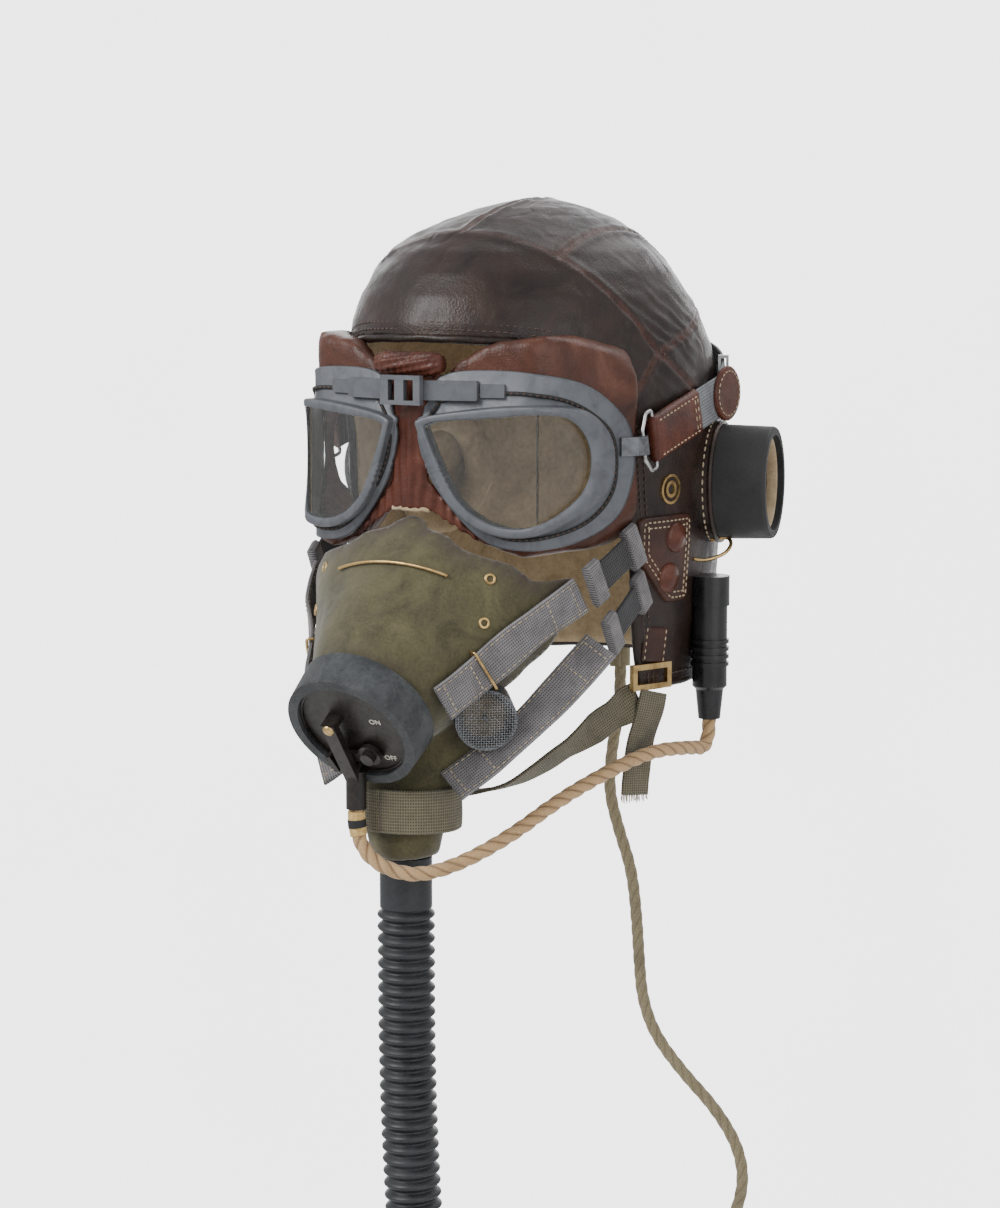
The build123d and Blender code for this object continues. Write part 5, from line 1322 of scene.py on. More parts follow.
def seam_distance(points):
    """How far each point is from its nearest seam, in millimetres."""
    marks = np.concatenate(seam_lines(0.0, LEATHER))
    return nearest(points, np.vstack([marks, marks * FLIP]))


def opening_line(inward, out):
    """The face opening's edge from hem to hem over the brow, moved inward over the leather."""
    sides = np.linspace(NECK_Z, BROW_BEND_Z, 150)
    bends = np.linspace(BROW_BEND_Z + BROW_BEND_GAP, BROW_Z - WELD, 120)
    heights = np.concatenate([sides, bends])
    breadth, _ = head_levels(heights)
    spread = HALF_DEPTH * FLAT_SHARE * breadth
    flat = np.stack([edge_turn(heights) * spread, heights], 1)
    run = unit(np.gradient(flat, axis=0))
    moved = flat + np.stack([run[:, 1], -run[:, 0]], 1) * inward
    points = head_at(np.clip(moved[:, 0], 0, None) / spread, moved[:, 1], out)
    points = points[points[:, 2] > NECK_Z + SEAM_STEP]
    return resample(np.vstack([points, (points * FLIP)[::-1]]), SEAM_STEP)


def hem_line(up, out):
    z = NECK_Z + up
    edge = float(edge_turn(z))
    return resample(head_at(np.linspace(edge, 2 * math.pi - edge, 400), z, out), SEAM_STEP)


# The helmet's leather and lining

def helmet_lift(point):
    """Soft waves over the leather, with slack creases round the temples and above the ears."""
    soft = noise.fractal(Vector(point) / WAVE_SIZE, 0.9, 2.1, 3)
    crease = abs(noise.noise(Vector(point / CREASE_SIZES) + Vector(CREASE_SHIFT)))
    height = WAVE_HEIGHT * (soft - max(0.0, 1 - crease / CREASE_SHARE) * (0.4 + 0.6 * soft))
    far = (point * (math.copysign(1, point[0]), 1, 1) - SLACK_PLACE) / SLACK_REACH
    run = point[1:].dot(SLACK_TURN) + SLACK_DRIFT * ripple(point, SLACK_DRIFT_SIZE)
    return height + math.exp(-far.dot(far)) * SLACK_HEIGHT * math.sin(run)


def dress_leather():
    """The helmet's leather: one skin with lifted seams, creases and a bound edge."""
    mesh = new_mesh("helmet_leather", *head_shell(SKIN_STEP, LEATHER))
    clean(mesh, WELD)
    points, normals = mesh_points(mesh), mesh_normals(mesh)
    if np.sum(normals * points) < 0:
        normals = -normals
    near = seam_distance(points)
    lift = SEAM_HEIGHT * (np.exp(-((near - SEAM_RIDGE) / SEAM_SPREAD) ** 2) - np.exp(-(near / SEAM_GROOVE) ** 2))
    lift += [helmet_lift(point) for point in points]
    faces = [tuple(p.vertices) for p in mesh.polygons]
    bpy.data.meshes.remove(mesh)
    panels = ["crown_left", "crown_right", "side_crowns", "brow_panel", "nape_panel"]
    panels += ["ear_flap_left", "ear_flap_right"]
    form = points + normals * lift[:, None], faces
    look = "helmet_leather", "helmet", "brown_leather"
    shell = add_mesh("helmet_leather", *form, *look, panels, {"seam": near * MM})
    thicken(shell, LEATHER)


def dress_binding():
    """A rolled edge along the face opening and the hem."""
    def rolled(way, angle):
        return BINDING_RADIUS + BINDING_RIPPLE * np.sin(way / BINDING_WAVE + 2 * angle)

    loop = np.vstack([opening_line(0.0, LEATHER / 2), hem_line(0.0, LEATHER / 2)[::-1]])
    loop = resample(np.vstack([loop, loop[:1]]), BINDING_RADIUS)[:-1]
    verts, faces = sweep(loop, rolled, 12, closed=True)
    add_mesh("helmet_binding", verts, faces, "binding_leather", "helmet", "brown_leather")


def dress_helmet_stitches():
    """Rows along the face opening, above the hem and on both sides of every seam."""
    rows = [opening_line(inward, LEATHER) for inward in OPENING_STITCHES] + [hem_line(HEM_STITCH, LEATHER)]
    lines = [(points, way_out(points)) for points in rows]
    for offset in [-SEAM_STITCH, SEAM_STITCH]:
        for points in seam_lines(offset, LEATHER):
            lines += both_sides(points, way_out(points))
    stitches("helmet_stitches", lines)


def dress_lining():
    verts, faces = head_shell(LINING_STEP, -SOFT_GAP)
    piece = add_mesh("lining", verts, faces, "chamois", "helmet", "chamois", ["chamois_lining"])
    clean(piece.data, WELD * MM)
    thicken(piece, LINING)


# Pieces laid on the helmet's side

def rounded_outline(points, radius):
    """A closed outline with its corners rounded, evenly stepped."""
    points = np.asarray(points, float)
    result = []
    for index, spot in enumerate(points):
        before, after = points[index - 1] - spot, points[(index + 1) % len(points)] - spot
        reach = min(radius, np.linalg.norm(before) / 2.2, np.linalg.norm(after) / 2.2)
        start, end = spot + unit(before) * reach, spot + unit(after) * reach
        for t in np.linspace(0, 1, 7):
            result.append((1 - t) ** 2 * start + 2 * t * (1 - t) * spot + t ** 2 * end)
    return resample(result + result[:1], SEAM_STEP)[:-1]


def side_patch(outline, low, high, crown, edge):
    """A flat piece laid on the helmet's side, with a rounded and slightly crowned face."""
    centre = outline.mean(axis=0)
    edge_share = edge / np.linalg.norm(outline - centre, axis=1).mean()
    tall = high - low
    rings = [(1, low), (1, low + 0.5 * tall), (1 - 0.35 * edge_share, high - 0.15 * tall), (1 - edge_share, high)]
    rings += [(share * (1 - edge_share), high + crown * (1 - share ** 2)) for share in [0.8, 0.6, 0.4, 0.2]]
    verts = []
    for share, out in rings:
        flat = centre + (outline - centre) * share
        verts.append(np.column_stack([head_x(flat[:, 0], flat[:, 1], LEATHER) + out, flat]))
    verts = np.concatenate(verts)
    faces = grid_faces(len(rings), len(outline), around=True)
    return verts, faces + end_caps(len(outline), len(verts))[1:]


def inset_outline(outline, inward):
    """The outline moved inward, for a row of stitches."""
    run = unit(np.roll(outline, -1, axis=0) - np.roll(outline, 1, axis=0))
    beside = np.column_stack([-run[:, 1], run[:, 0]])
    facing = np.sign(np.sum(beside * (outline.mean(axis=0) - outline), axis=1))
    return outline + beside * facing[:, None] * inward


def side_line(outline, out):
    """A closed outline on the helmet's side as points and ways out, for both sides."""
    flat = np.vstack([outline, outline[:1]])
    points = np.column_stack([head_x(flat[:, 0], flat[:, 1], LEATHER) + out, flat])
    return both_sides(points, way_out(points))


def dress_tabs():
    outline = rounded_outline(TAB_OUTLINE, TAB_ROUND)
    verts, faces = mirrored(*side_patch(outline, -TAB_SINK, TAB_THICK, TAB_CROWN, TAB_EDGE))
    add_mesh("snap_tab_leather", verts, faces, "brown_leather", "helmet", "brown_leather", ["snap_tabs"])
    lines = []
    for inward, lift in TAB_STITCHES:
        lines += side_line(inset_outline(outline, inward), TAB_THICK + lift)
    stitches("snap_tab_stitches", lines)
    caps = []
    for spot in CAPS:
        ring = circle(np.array(spot), (1, 0), (0, 1), CAP_RADIUS, turns(40))
        caps.append(side_patch(ring, TAB_THICK - CAP_SINK, TAB_THICK + CAP_HEIGHT, CAP_CROWN, CAP_EDGE))
    verts, faces = mirrored(*joined(caps))
    add_mesh("snap_cap_leather", verts, faces, "cap_leather", "helmet", "brown_leather", ["snap_caps"])


# Ears

def ear_frame():
    turn = math.radians(EAR_TILT_DEG)
    return axes_for(EAR, (math.cos(turn), math.sin(turn), 0))


def dress_ears():
    """Piping and stitches round the cup's base, a moulded bead at the rim and pale felt in the bore."""
    place = ear_frame()
    piping = bead(EAR_RING_RADIUS - PIPING_SINK, PIPING_HEIGHT, PIPING_THICK, PIPING_THICK)
    rim = bead(CUP_RIM_RADIUS - BEAD_SINK, CUP_LENGTH - BEAD_DROP, BEAD_THICK, BEAD_THICK)
    felt_out = CUP_BORE_RADIUS - FELT_GAP
    felt_in = felt_out - FELT_THICK
    low, high = CUP_FLOOR + FELT_START, CUP_LENGTH - FELT_DROP
    lap = [(felt_in, high - FELT_EDGE_DOWN), (felt_in + FELT_EDGE_IN, high), (felt_out, high)]
    turned = [
        ("ear_piping", piping, "binding_leather", "black_rubber"),
        ("cup_bead", rim, "black_rubber", "black_rubber"),
        ("cup_felt", [(felt_out, low), (felt_in, low), *lap], "chamois", "chamois"),
    ]
    for name, profile, material, slot in turned:
        verts, faces = mirrored(*lathe(profile, place, 72))
        add_mesh(name, verts, faces, material, "helmet", slot)
    origin, x_dir, y_dir, z_dir = place
    base = origin - z_dir * EAR_STITCH_BACK
    ring = circle(base, x_dir, y_dir, EAR_RING_RADIUS, turns(120, closed=True))
    stitches("ear_ring_stitches", both_sides(ring, ring - base))


def pad_folds(point):
    return folds(point, PAD_FOLDS)


def dress_ear_pads():
    pads = soft_copy("ear_cushions", pad_folds)


def dress_ear_loop():
    """A tan wire loop behind each ear flap's tab, below the cup."""
    verts, faces = mirrored(*sweep(smooth_path(EAR_LOOP, CURVE_STEP), EAR_LOOP_RADIUS, 10))
    add_mesh("ear_loop", verts, faces, "worn_brass", "helmet", "brass")


# The goggles

def pane_y(x, out):
    """How far forward the bent pane is at a place across; out is toward the front."""
    x = np.abs(np.asarray(x, float))
    first, second = math.radians(FRONT_PANE_DEG), math.radians(SIDE_PANE_DEG)
    edge_y = LENS_INNER_Y + (PANE_EDGE_X - BRIDGE_HALF_GAP) * math.tan(first)
    front = LENS_INNER_Y + (x - BRIDGE_HALF_GAP) * math.tan(first) - out / math.cos(first)
    side = edge_y + (x - PANE_EDGE_X) * math.tan(second) - out / math.cos(second)
    return (front + side + np.sqrt((front - side) ** 2 + CREASE_SOFTNESS ** 2)) / 2


def polar_outline(box, shares, angles):
    """How far a soft outline is from the lens's centre, at each angle."""
    x0, x1, z0, z1 = box
    corners = [(x0 + a * (x1 - x0), z0 + b * (z1 - z0)) for a, b in shares]
    across, up = (smooth_path(corners[-2:] + corners + corners[:2], OUTLINE_STEP) - LENS_CENTRE).T
    bearing = np.arctan2(up, across) % (2 * math.pi)
    order = np.argsort(bearing)
    return np.interp(angles, bearing[order], np.hypot(across, up)[order], period=2 * math.pi)


def frame_rings(angles):
    """Reach and front of each ring round the frame's section, from the pane's seat and back to it."""
    lens = polar_outline(LENS_BOX, LENS_SHARES, angles) - RIM_LAP
    rim = lens + RIM_WIDTH
    flange = np.maximum(polar_outline(FLANGE_BOX, FLANGE_SHARES, angles), rim + FLANGE_LEAST)
    rounds = [(EDGE_ROUND * a, RIM_FRONT - EDGE_ROUND * b) for a, b in RIM_ROUND_SHARES]
    rings = [(lens, RIM_SEAT)]
    rings += [(lens + inward, out) for inward, out in rounds]
    rings += [(rim - inward, out) for inward, out in rounds[::-1]]
    rings += [(rim, FLANGE_FRONT + RIM_FILLET), (rim + RIM_FILLET, FLANGE_FRONT)]
    rings += [(flange - EDGE_ROUND * a, FLANGE_FRONT - EDGE_ROUND * b) for a, b in FLANGE_ROUND_SHARES]
    return rings + [(flange, FLANGE_BACK), (lens, FLANGE_BACK), (lens, RIM_SEAT)]


def dress_frames():
    """Cast goggle frames: a raised round-edged rim on a thin flange, bent at the pane's edge."""
    angles = turns(260)
    verts = []
    for reach, out in frame_rings(angles):
        x = LENS_CENTRE[0] + reach * np.cos(angles)
        verts.append(np.column_stack([x, pane_y(x, out), LENS_CENTRE[1] + reach * np.sin(angles)]))
    faces = grid_faces(len(verts), len(angles), around=True)
    verts = np.concatenate(verts)
    for side, form in [("left", verts), ("right", verts * FLIP)]:
        add_mesh("frame_" + side, form, faces, "frame_enamel", "goggles", "frame_metal", ["goggle_frame_" + side])


def dress_lace():
    """A dark laced groove runs round each frame between rim and pad."""
    x, z = smooth_path(LACE_OUTLINE + LACE_OUTLINE[:1], LACE_STEP).T
    points = np.column_stack([x, pane_y(x, FLANGE_FRONT + LACE_LIFT), z])
    verts, faces = mirrored(*sweep(points[:-1], LACE_RADIUS, 10, closed=True))
    add_mesh("goggle_groove", verts, faces, "black_tape", "goggles", "frame_metal")
    stitches("goggle_lacing", both_sides(points, (0, -1, 0)))


def nose_folds(point):
    """Gathers across the nose leather, looser toward its low edge."""
    drift = NOSE_PLEAT_DRIFT * ripple(point * (1, 0, 1), NOSE_PLEAT_SIZES)
    low = max(0.0, min(1.0, (NOSE_LOOSE_Z - point[2]) / NOSE_LOOSE_REACH))
    gather = math.sin(point[0] * NOSE_PLEAT_TURN + drift) * (0.5 + low)
    return NOSE_PLEAT_HEIGHT * gather + folds(point, NOSE_FOLDS)


def dress_notch(nose):
    """A pale binding along the notch over the wearer's nose."""
    points = mesh_points(nose.data) / MM
    lows = []
    for x in np.linspace(-NOTCH_HALF_WIDTH, NOTCH_HALF_WIDTH, 9):
        near = points[np.abs(points[:, 0] - x) < NOTCH_NEAR]
        lows.append(near[np.argmin(near[:, 2])])
    verts, faces = sweep(smooth_path(lows, CURVE_STEP), NOTCH_RADIUS, 12)
    add_mesh("notch_binding", verts, faces, "chamois", "goggles", "red_leather")


def dress_roll():
    """The bridge's roll, with lengthwise pleats and drawn in at both ends."""
    def gathered(way, angle):
        drawn = sum(np.exp(-((way - end) / TUBE_DRAW_REACH) ** 2) for end in [0, 2 * TUBE_HALF_LENGTH])
        pleats = sum(deep * np.sin(count * angle + turn * way) for deep, count, turn in TUBE_PLEAT_SHARES)
        return TUBE_RADIUS * (1 - TUBE_DRAW_SHARE * drawn) * (1 + pleats)

    ends = [(x, TUBE_Y, TUBE_Z) for x in [-TUBE_HALF_LENGTH, TUBE_HALF_LENGTH]]
    verts, faces = sweep(np.linspace(*ends, 60), gathered, 72)
    add_mesh("bridge_roll", verts, faces, "red_leather", "goggles", "red_leather", ["bridge_tube"])


def dress_goggles():
    for side in ["left", "right"]:
        pad = soft_copy("pad_" + side, pad_folds)
        finer = pad.modifiers.new("finer", "SUBSURF")
        finer.levels = finer.render_levels = 1
    dress_notch(soft_copy("nose_piece", nose_folds))
    dress_roll()
    dress_lace()


def dress_apron():
    """Gathered leather behind the bridge link, from the nose piece up to the roll."""
    across = np.linspace(-APRON_HALF_WIDTH, APRON_HALF_WIDTH, APRON_COLUMNS)
    turn, slow_turn = APRON_PLEAT_TURNS
    high, low = APRON_PLEAT_HEIGHTS
    verts = []
    for z in np.linspace(APRON_LOW_Z, APRON_HIGH_Z, APRON_ROWS):
        drift = APRON_DRIFT * np.sin(z / APRON_DRIFT_SIZES[0])
        pleats = high * np.sin(across * turn + drift) + low * np.sin(across * slow_turn + z / APRON_DRIFT_SIZES[1])
        verts.append(np.column_stack([across, APRON_Y + pleats, np.full(APRON_COLUMNS, z)]))
    faces = grid_faces(APRON_ROWS, APRON_COLUMNS)
    piece = add_mesh("bridge_apron", np.concatenate(verts), faces, "red_leather", "goggles", "red_leather")
    thicken(piece, APRON_THICK, 0.0)


# The goggle strap

def strap_spot(along, up, out):
    """A point in the strap's own frame on the wearer's left."""
    slope = math.radians(STRAP_SLOPE_DEG)
    y = PIVOT_Y + along * math.cos(slope) - up * math.sin(slope)
    z = PIVOT_Z + along * math.sin(slope) + up * math.cos(slope)
    return (STRAP_INNER_X + out, y, z)


def strap_rows(spots):
    """The strap's width is upright to its slope at each spot."""
    slope = math.radians(STRAP_SLOPE_DEG)
    return [(spot, (0.0, -math.sin(slope), math.cos(slope))) for spot in spots]


def dress_strap():
    slope = math.radians(STRAP_SLOPE_DEG)
    front, back = ((y - PIVOT_Y) / math.cos(slope) for y in (LOOP_FRONT_Y, LOOP_BACK_Y))
    middle = STRAP_THICK / 2
    blue = ("blue_elastic", "blue_elastic")
    rows = strap_rows([strap_spot(along, 0, middle) for along in np.linspace(back - ELASTIC_TUCK, ELASTIC_END, 6)])
    add_strap("front_elastic", rows, STRAP_WIDTH, STRAP_THICK, blue, ["strap_elastics"], rippled=0.0, body="goggles")
    rows = strap_rows([strap_spot(along, 0, middle) for along in np.linspace(front + LOOP_TURN, back, 8)])
    add_strap("loop_leather", rows, LOOP_WIDTH, LOOP_THICK, ("red_leather", "red_leather"), ["strap_loops"],
              rippled=LOOP_RIPPLE, body="goggles")
    dress_loop_stitches(front, back)
    turn = np.linspace(math.asin(REAR_STRAP_START_Y / REAR_STRAP_HALF_DEPTH), math.pi / 2, 24)
    x, y = REAR_STRAP_HALF_WIDTH * np.cos(turn), REAR_STRAP_HALF_DEPTH * np.sin(turn)
    left = np.column_stack([x, y, PIVOT_Z + (y - PIVOT_Y) * math.tan(slope)])
    rows = strap_rows([*left, *(left * FLIP)[-2::-1]])
    add_strap("rear_elastic", rows, STRAP_WIDTH, STRAP_THICK, blue, ["rear_strap"], both=False, rippled=0.0,
              step=REAR_STRAP_STEP)
    dress_patch()


def dress_loop_stitches(front, back):
    """Rows along both edges of the strap's leather loop, and two across its rear end."""
    out = STRAP_THICK / 2 + LOOP_THICK / 2
    along = np.linspace(front + LOOP_STITCH_START, back - LOOP_STITCH_END, 60)
    up = np.linspace(-LOOP_CROSS_UP, LOOP_CROSS_UP, 30)
    rows = [[strap_spot(place, side, out) for place in along] for side in [-LOOP_STITCH_UP, LOOP_STITCH_UP]]
    rows += [[strap_spot(back - inward, side, out) for side in up] for inward in LOOP_CROSS_STITCHES]
    stitches("loop_stitches", [line for row in rows for line in both_sides(np.array(row), (1, 0, 0))])


def dress_patch():
    """The round leather patch over the strap's pivot."""
    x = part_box("strap_patches")[1].x / MM
    profile = [(PATCH_RADIUS - inward, height) for inward, height in PATCH_STEPS]
    verts, faces = mirrored(*lathe(profile, axes_for((x - PATCH_THICK, PIVOT_Y, PIVOT_Z), (1, 0, 0)), 60))
    add_mesh("patch_leather", verts, faces, "red_leather", "helmet", "red_leather", ["strap_patches"])
    middle = np.array((x, PIVOT_Y, PIVOT_Z))
    ring = circle(middle, (0, 1, 0), (0, 0, 1), PATCH_STITCH_RADIUS, turns(90, closed=True))
    stitches("patch_stitches", both_sides(ring, (1, 0, 0)))


# The mask

def mic_frame():
    drop = math.radians(MIC_DROP_DEG)
    normal = np.array((0, -math.cos(drop), -math.sin(drop)))
    x_dir = np.array((1.0, 0, 0))
    return np.array(MIC), x_dir, np.cross(normal, x_dir), normal


def mic_spot(across, up, out):
    """A place on the microphone's face."""
    origin, *directions = mic_frame()
    return origin + np.array((across, up, out)) @ directions


def closed_loft(sections):
    """A solid skin through rings of points."""
    columns = len(sections[0])
    verts = np.concatenate(sections)
    faces = grid_faces(len(sections), columns, around=True)
    return verts, faces + [face[::-1] for face in end_caps(columns, len(verts))]


def mask_blank():
    """The mask's nose, and its chin with the spout, as two closed forms."""
    origin, x_dir, y_dir, normal = mic_frame()
    angles = turns(64)
    cosines, sines = np.cos(angles), np.sin(angles)
    depths, *reaches = np.transpose(MASK_LEVELS)
    nose = []
    for depth in np.linspace(depths[0], depths[-1], 14):
        half, up, down = (np.interp(depth, depths, reach) for reach in reaches)
        tall = np.where(sines > 0, up, down)
        nose.append(origin - normal * depth + np.outer(half * cosines, x_dir) + np.outer(tall * sines, y_dir))
    chin = []
    for half_x, half_y, y, z in [*np.linspace(CHIN_TOP, SPOUT_TOP, 8), SPOUT_LOW]:
        chin.append(np.column_stack([half_x * cosines, y + half_y * sines, np.full(len(angles), z)]))
    return joined([closed_loft(nose), closed_loft(chin)])


def in_mask(point, far):
    """Whether the cloth has this point, which lies this far from the solid's shell."""
    if far < MASK_REACH:
        return True
    top = np.interp(abs(point.x), *zip(*MASK_TOP))
    return far < MASK_EDGE_REACH and MASK_EDGE_Z < point.z < top and point.y < MASK_FRONT_Y


def mask_folds(point):
    slanted = point - (0, 0, MASK_SKEW_SHARE * point[1])
    return folds(point, MASK_FOLDS) + folds(slanted, MASK_PULLS)


def trim_mask(mesh):
    """Cut the cloth to its shape, smooth the cut edge and give the edge's points."""
    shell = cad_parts["mask_shell"].data
    tree = BVHTree.FromPolygons([v.co for v in shell.vertices], [tuple(p.vertices) for p in shell.polygons])
    work = bmesh.new()
    work.from_mesh(mesh)
    gone = [v for v in work.verts if not in_mask(v.co / MM, (tree.find_nearest(v.co)[3] or 1) / MM)]
    bmesh.ops.delete(work, geom=gone, context="VERTS")
    bmesh.ops.recalc_face_normals(work, faces=work.faces)
    loose = [v for v in work.verts if not v.link_faces]
    bmesh.ops.delete(work, geom=loose, context="VERTS")
    for _ in range(MASK_RIM_ROUNDS):
        rim = {v: [e.other_vert(v) for e in v.link_edges if e.is_boundary] for v in work.verts if v.is_boundary}
        moves = {v: v.co / 2 + (pair[0].co + pair[1].co) / 4 for v, pair in rim.items() if len(pair) == 2}
        for v, place in moves.items():
            v.co = place
    edge = [v.co.copy() for v in work.verts if v.is_boundary]
    work.to_mesh(mesh)
    work.free()
    return edge


def dress_mask():
    """The mask's cloth, kept to where the solid's shell is and up to its soft top edge."""
    verts, faces = mask_blank()
    piece = new_object("mask_cloth", new_mesh("mask", verts * MM, faces))
    remesh(piece, MASK_VOXEL, MASK_ROUNDS)
    edge = trim_mask(piece.data)
    near = nearest(mesh_points(piece.data), edge)
    layer = piece.data.attributes.new("seam", "FLOAT", "POINT")
    layer.data.foreach_set("value", near.astype(np.float32))
    displace(piece, mask_folds)
    piece.data.shade_smooth()
    finish_piece(piece, "mask_wool", "helmet", ["mask_shell"])
    thicken(piece, MASK_CLOTH)


def dress_eyelets():
    """Two small brass eyelets on each cheek of the mask."""
    rings = [lathe(bead(*EYELET_BEAD), axes_for(spot, out), 28) for spot, out in EYELETS]
    verts, faces = mirrored(*joined(rings))
    add_mesh("mask_eyelets", verts, faces, "worn_brass", "helmet", "brass")


def dress_mic():
    """The switch's two words and the cover's screw."""
    _, x_dir, y_dir, normal = mic_frame()
    basis = Matrix([x_dir, y_dir, normal]).transposed().to_4x4()
    for word, place in WORDS:
        curve = bpy.data.curves.new("word_" + word, "FONT")
        curve.body = word
        curve.size = LETTER_SIZE * MM
        curve.extrude = LETTER_DEPTH * MM
        curve.align_x = "CENTER"
        text = new_object("word_" + word, curve)
        text.matrix_world = Matrix.Translation(Vector(mic_spot(*place) * MM)) @ basis
        finish_piece(text, "pale_paint", "helmet")
    verts, faces = lathe(SCREW_PROFILE, (mic_spot(*SCREW_PLACE), x_dir, y_dir, normal), 28)
    add_mesh("cover_screw", verts, faces, "worn_brass", "helmet", "brass")


def dress_exhaust():
    """Fine woven wire over the exhaust valve, slightly domed."""
    points = mesh_points(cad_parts["exhaust_mesh"].data) / MM
    centre = (points.min(axis=0) + points.max(axis=0)) / 2
    flat = points - centre
    first, second, out = np.linalg.svd(flat, full_matrices=False)[2]
    out = out * np.sign(out[0])
    reach = np.linalg.norm(flat - np.outer(flat @ out, out), axis=1).max() - MESH_WIRE_RADIUS
    count = int(reach / MESH_PITCH)
    wires = []
    for run, beside, phase in [(first, second, 0.0), (second, first, math.pi)]:
        for index in range(-count, count + 1):
            offset = index * MESH_PITCH
            half = math.sqrt(reach ** 2 - offset ** 2)
            spots = np.arange(-half, half, MESH_PITCH / 4)
            if len(spots) < 4:
                continue
            rise = MESH_DOME * (1 - (spots ** 2 + offset ** 2) / reach ** 2)
            rise += MESH_WIRE_RADIUS * np.cos(math.pi * (spots / MESH_PITCH + index) + phase)
            path = centre + np.outer(spots, run) + beside * offset + np.outer(rise, out)
            wires.append(sweep(path, MESH_WIRE_RADIUS, 5))
    verts, faces = joined(wires)
    add_mesh("exhaust_wire", verts, faces, "mesh_wire", "helmet", "grey_metal", ["exhaust_mesh"])


# Hose and cords

def dress_hose():
    line = spline_line(HOSE_ROUTE, HOSE_STEP)
    length = float(way_along(line)[-1])
    pitch = (length - 2 * HOSE_CUFF_LENGTH) / HOSE_RIB_COUNT

    def ribbed(way, _):
        crest = 0.5 - 0.5 * np.cos(2 * math.pi * (way - HOSE_CUFF_LENGTH) / pitch)
        ribs = HOSE_ROOT_RADIUS + (HOSE_CREST_RADIUS - HOSE_ROOT_RADIUS) * crest ** 0.7
        plain = (way < HOSE_CUFF_LENGTH) | (way > length - HOSE_CUFF_LENGTH)
        return np.where(plain, HOSE_CUFF_RADIUS, ribs)

    verts, faces = sweep(line, ribbed, 40)
    hose = add_mesh("hose", verts, faces, "hose_rubber", "helmet", "hose_rubber", ["breathing_hose"])


def add_cord(name, wraps=()):
    """A cord of laid strands along its route."""
    node, material, plug, route, radius, strands, turn, depth = CORDS[name]
    line = spline_line(route, CORD_STEP)
    way = way_along(line)

    def laid(way, angle):
        phase = strands * (angle - 2 * math.pi * way / turn) / 2
        return radius * (1 - depth + depth * np.abs(np.cos(phase)) ** 0.8)

    sides = 30
    verts, faces = sweep(line, laid, sides)
    # depth of each point between strands, the mask of the painted shade in the cotton
    hollow_shade = (radius - laid(way[:, None], turns(sides)[None, :])) / (radius * HOLLOW_SHADE_SHARE)
    piece = add_mesh(name, verts, faces, material, "helmet", material, [node], {"hollow_shade": hollow_shade.ravel()})


def dress_whipping():
    """Yellow thread wound round the cord below the microphone, held by black tape."""
    def wound(way, angle):
        ridges = np.abs(np.sin(math.pi * way / WHIPPING_PITCH + angle / 2))
        return MIC_CORD_RADIUS + WHIPPING_THICK + WHIPPING_RIDGE * ridges

    line = spline_line(MIC_CORD_ROUTE, WHIPPING_STEP)
    way = way_along(line)
    wraps = [
        ("cord_whipping", WHIPPING, wound, "yellow_whipping"),
        ("cord_tape", TAPE, MIC_CORD_RADIUS + TAPE_LIFT, "black_tape"),
    ]
    pieces = []
    for name, (start, end), radius, material in wraps:
        verts, faces = sweep(line[(way > start) & (way < end)], radius, 24)
        pieces.append(add_mesh(name, verts, faces, material, "helmet", "tan_cord"))
    return pieces


def dress_cords():
    add_cord("mic_cord_cotton", dress_whipping())
    add_cord("helmet_lead_braid")


# Webbing and straps

def dress_keeper_wires():
    """A brass wire keeper clipped round each upper web near the mask."""
    path, across, normal, _ = strap_course(UPPER_WEB, SEAM_STEP)
    at = int(len(path) * WIRE_AT_SHARE)
    wide = across[at] * (WEB_WIDTH / 2 + WIRE_SIDE_ROOM)
    deep = normal[at] * (WEB_THICK / 2 + WIRE_FACE_ROOM)
    corners = [path[at] + wide * a + deep * b for a, b in WIRE_SHARES]
    ring = smooth_path(corners + corners[:1], WIRE_RADIUS)[:-1]
    verts, faces = mirrored(*sweep(ring, WIRE_RADIUS, 10, closed=True))
    add_mesh("web_keepers", verts, faces, "worn_brass", "helmet", "brass")


def dress_link(index, start, end, side):
    """A link's elastic and the two short loops that hold it."""
    first, last = np.array(start), np.array(end)
    reach = unit(last - first) * LINK_LOOP_DEPTH / 2
    for spot, label in [(first, "front"), (last, "rear")]:
        rows = [(spot - reach, side), (spot, side), (spot + reach, side)]
        nodes = ["link_loops"] if index == 0 and label == "front" else []
        add_strap(f"link_loop_{label}_{index}", rows, LINK_LOOP_HEIGHT, LINK_LOOP_THICK, GREY_WEB, nodes,
                  rippled=LINK_RIPPLE, seed=index)
    rows = [(first + reach, side), ((first + last) / 2, side), (last - reach, side)]
    nodes = ["link_elastics"] if index == 0 else []
    add_strap(f"link_elastic_{index}", rows, ELASTIC_WIDTH, ELASTIC_THICK, ("black_elastic", "black_elastic"), nodes,
              rippled=LINK_RIPPLE)


def dress_webbing():
    add_strap("upper_webbing", UPPER_WEB, WEB_WIDTH, WEB_THICK, GREY_WEB, ["harness_webbing"])
    add_strap("lower_webbing", LOWER_WEB, WEB_WIDTH, WEB_THICK, GREY_WEB, seed=LOWER_WEB_SEED)
    lines = []
    for rows in [UPPER_WEB, LOWER_WEB]:
        lines += strap_edges(rows, WEB_WIDTH, WEB_THICK, WEB_STITCH_IN)
    stitches("webbing_stitches", lines)
    for index, link in enumerate(LINKS):
        dress_link(index, *link)
    dress_chin()


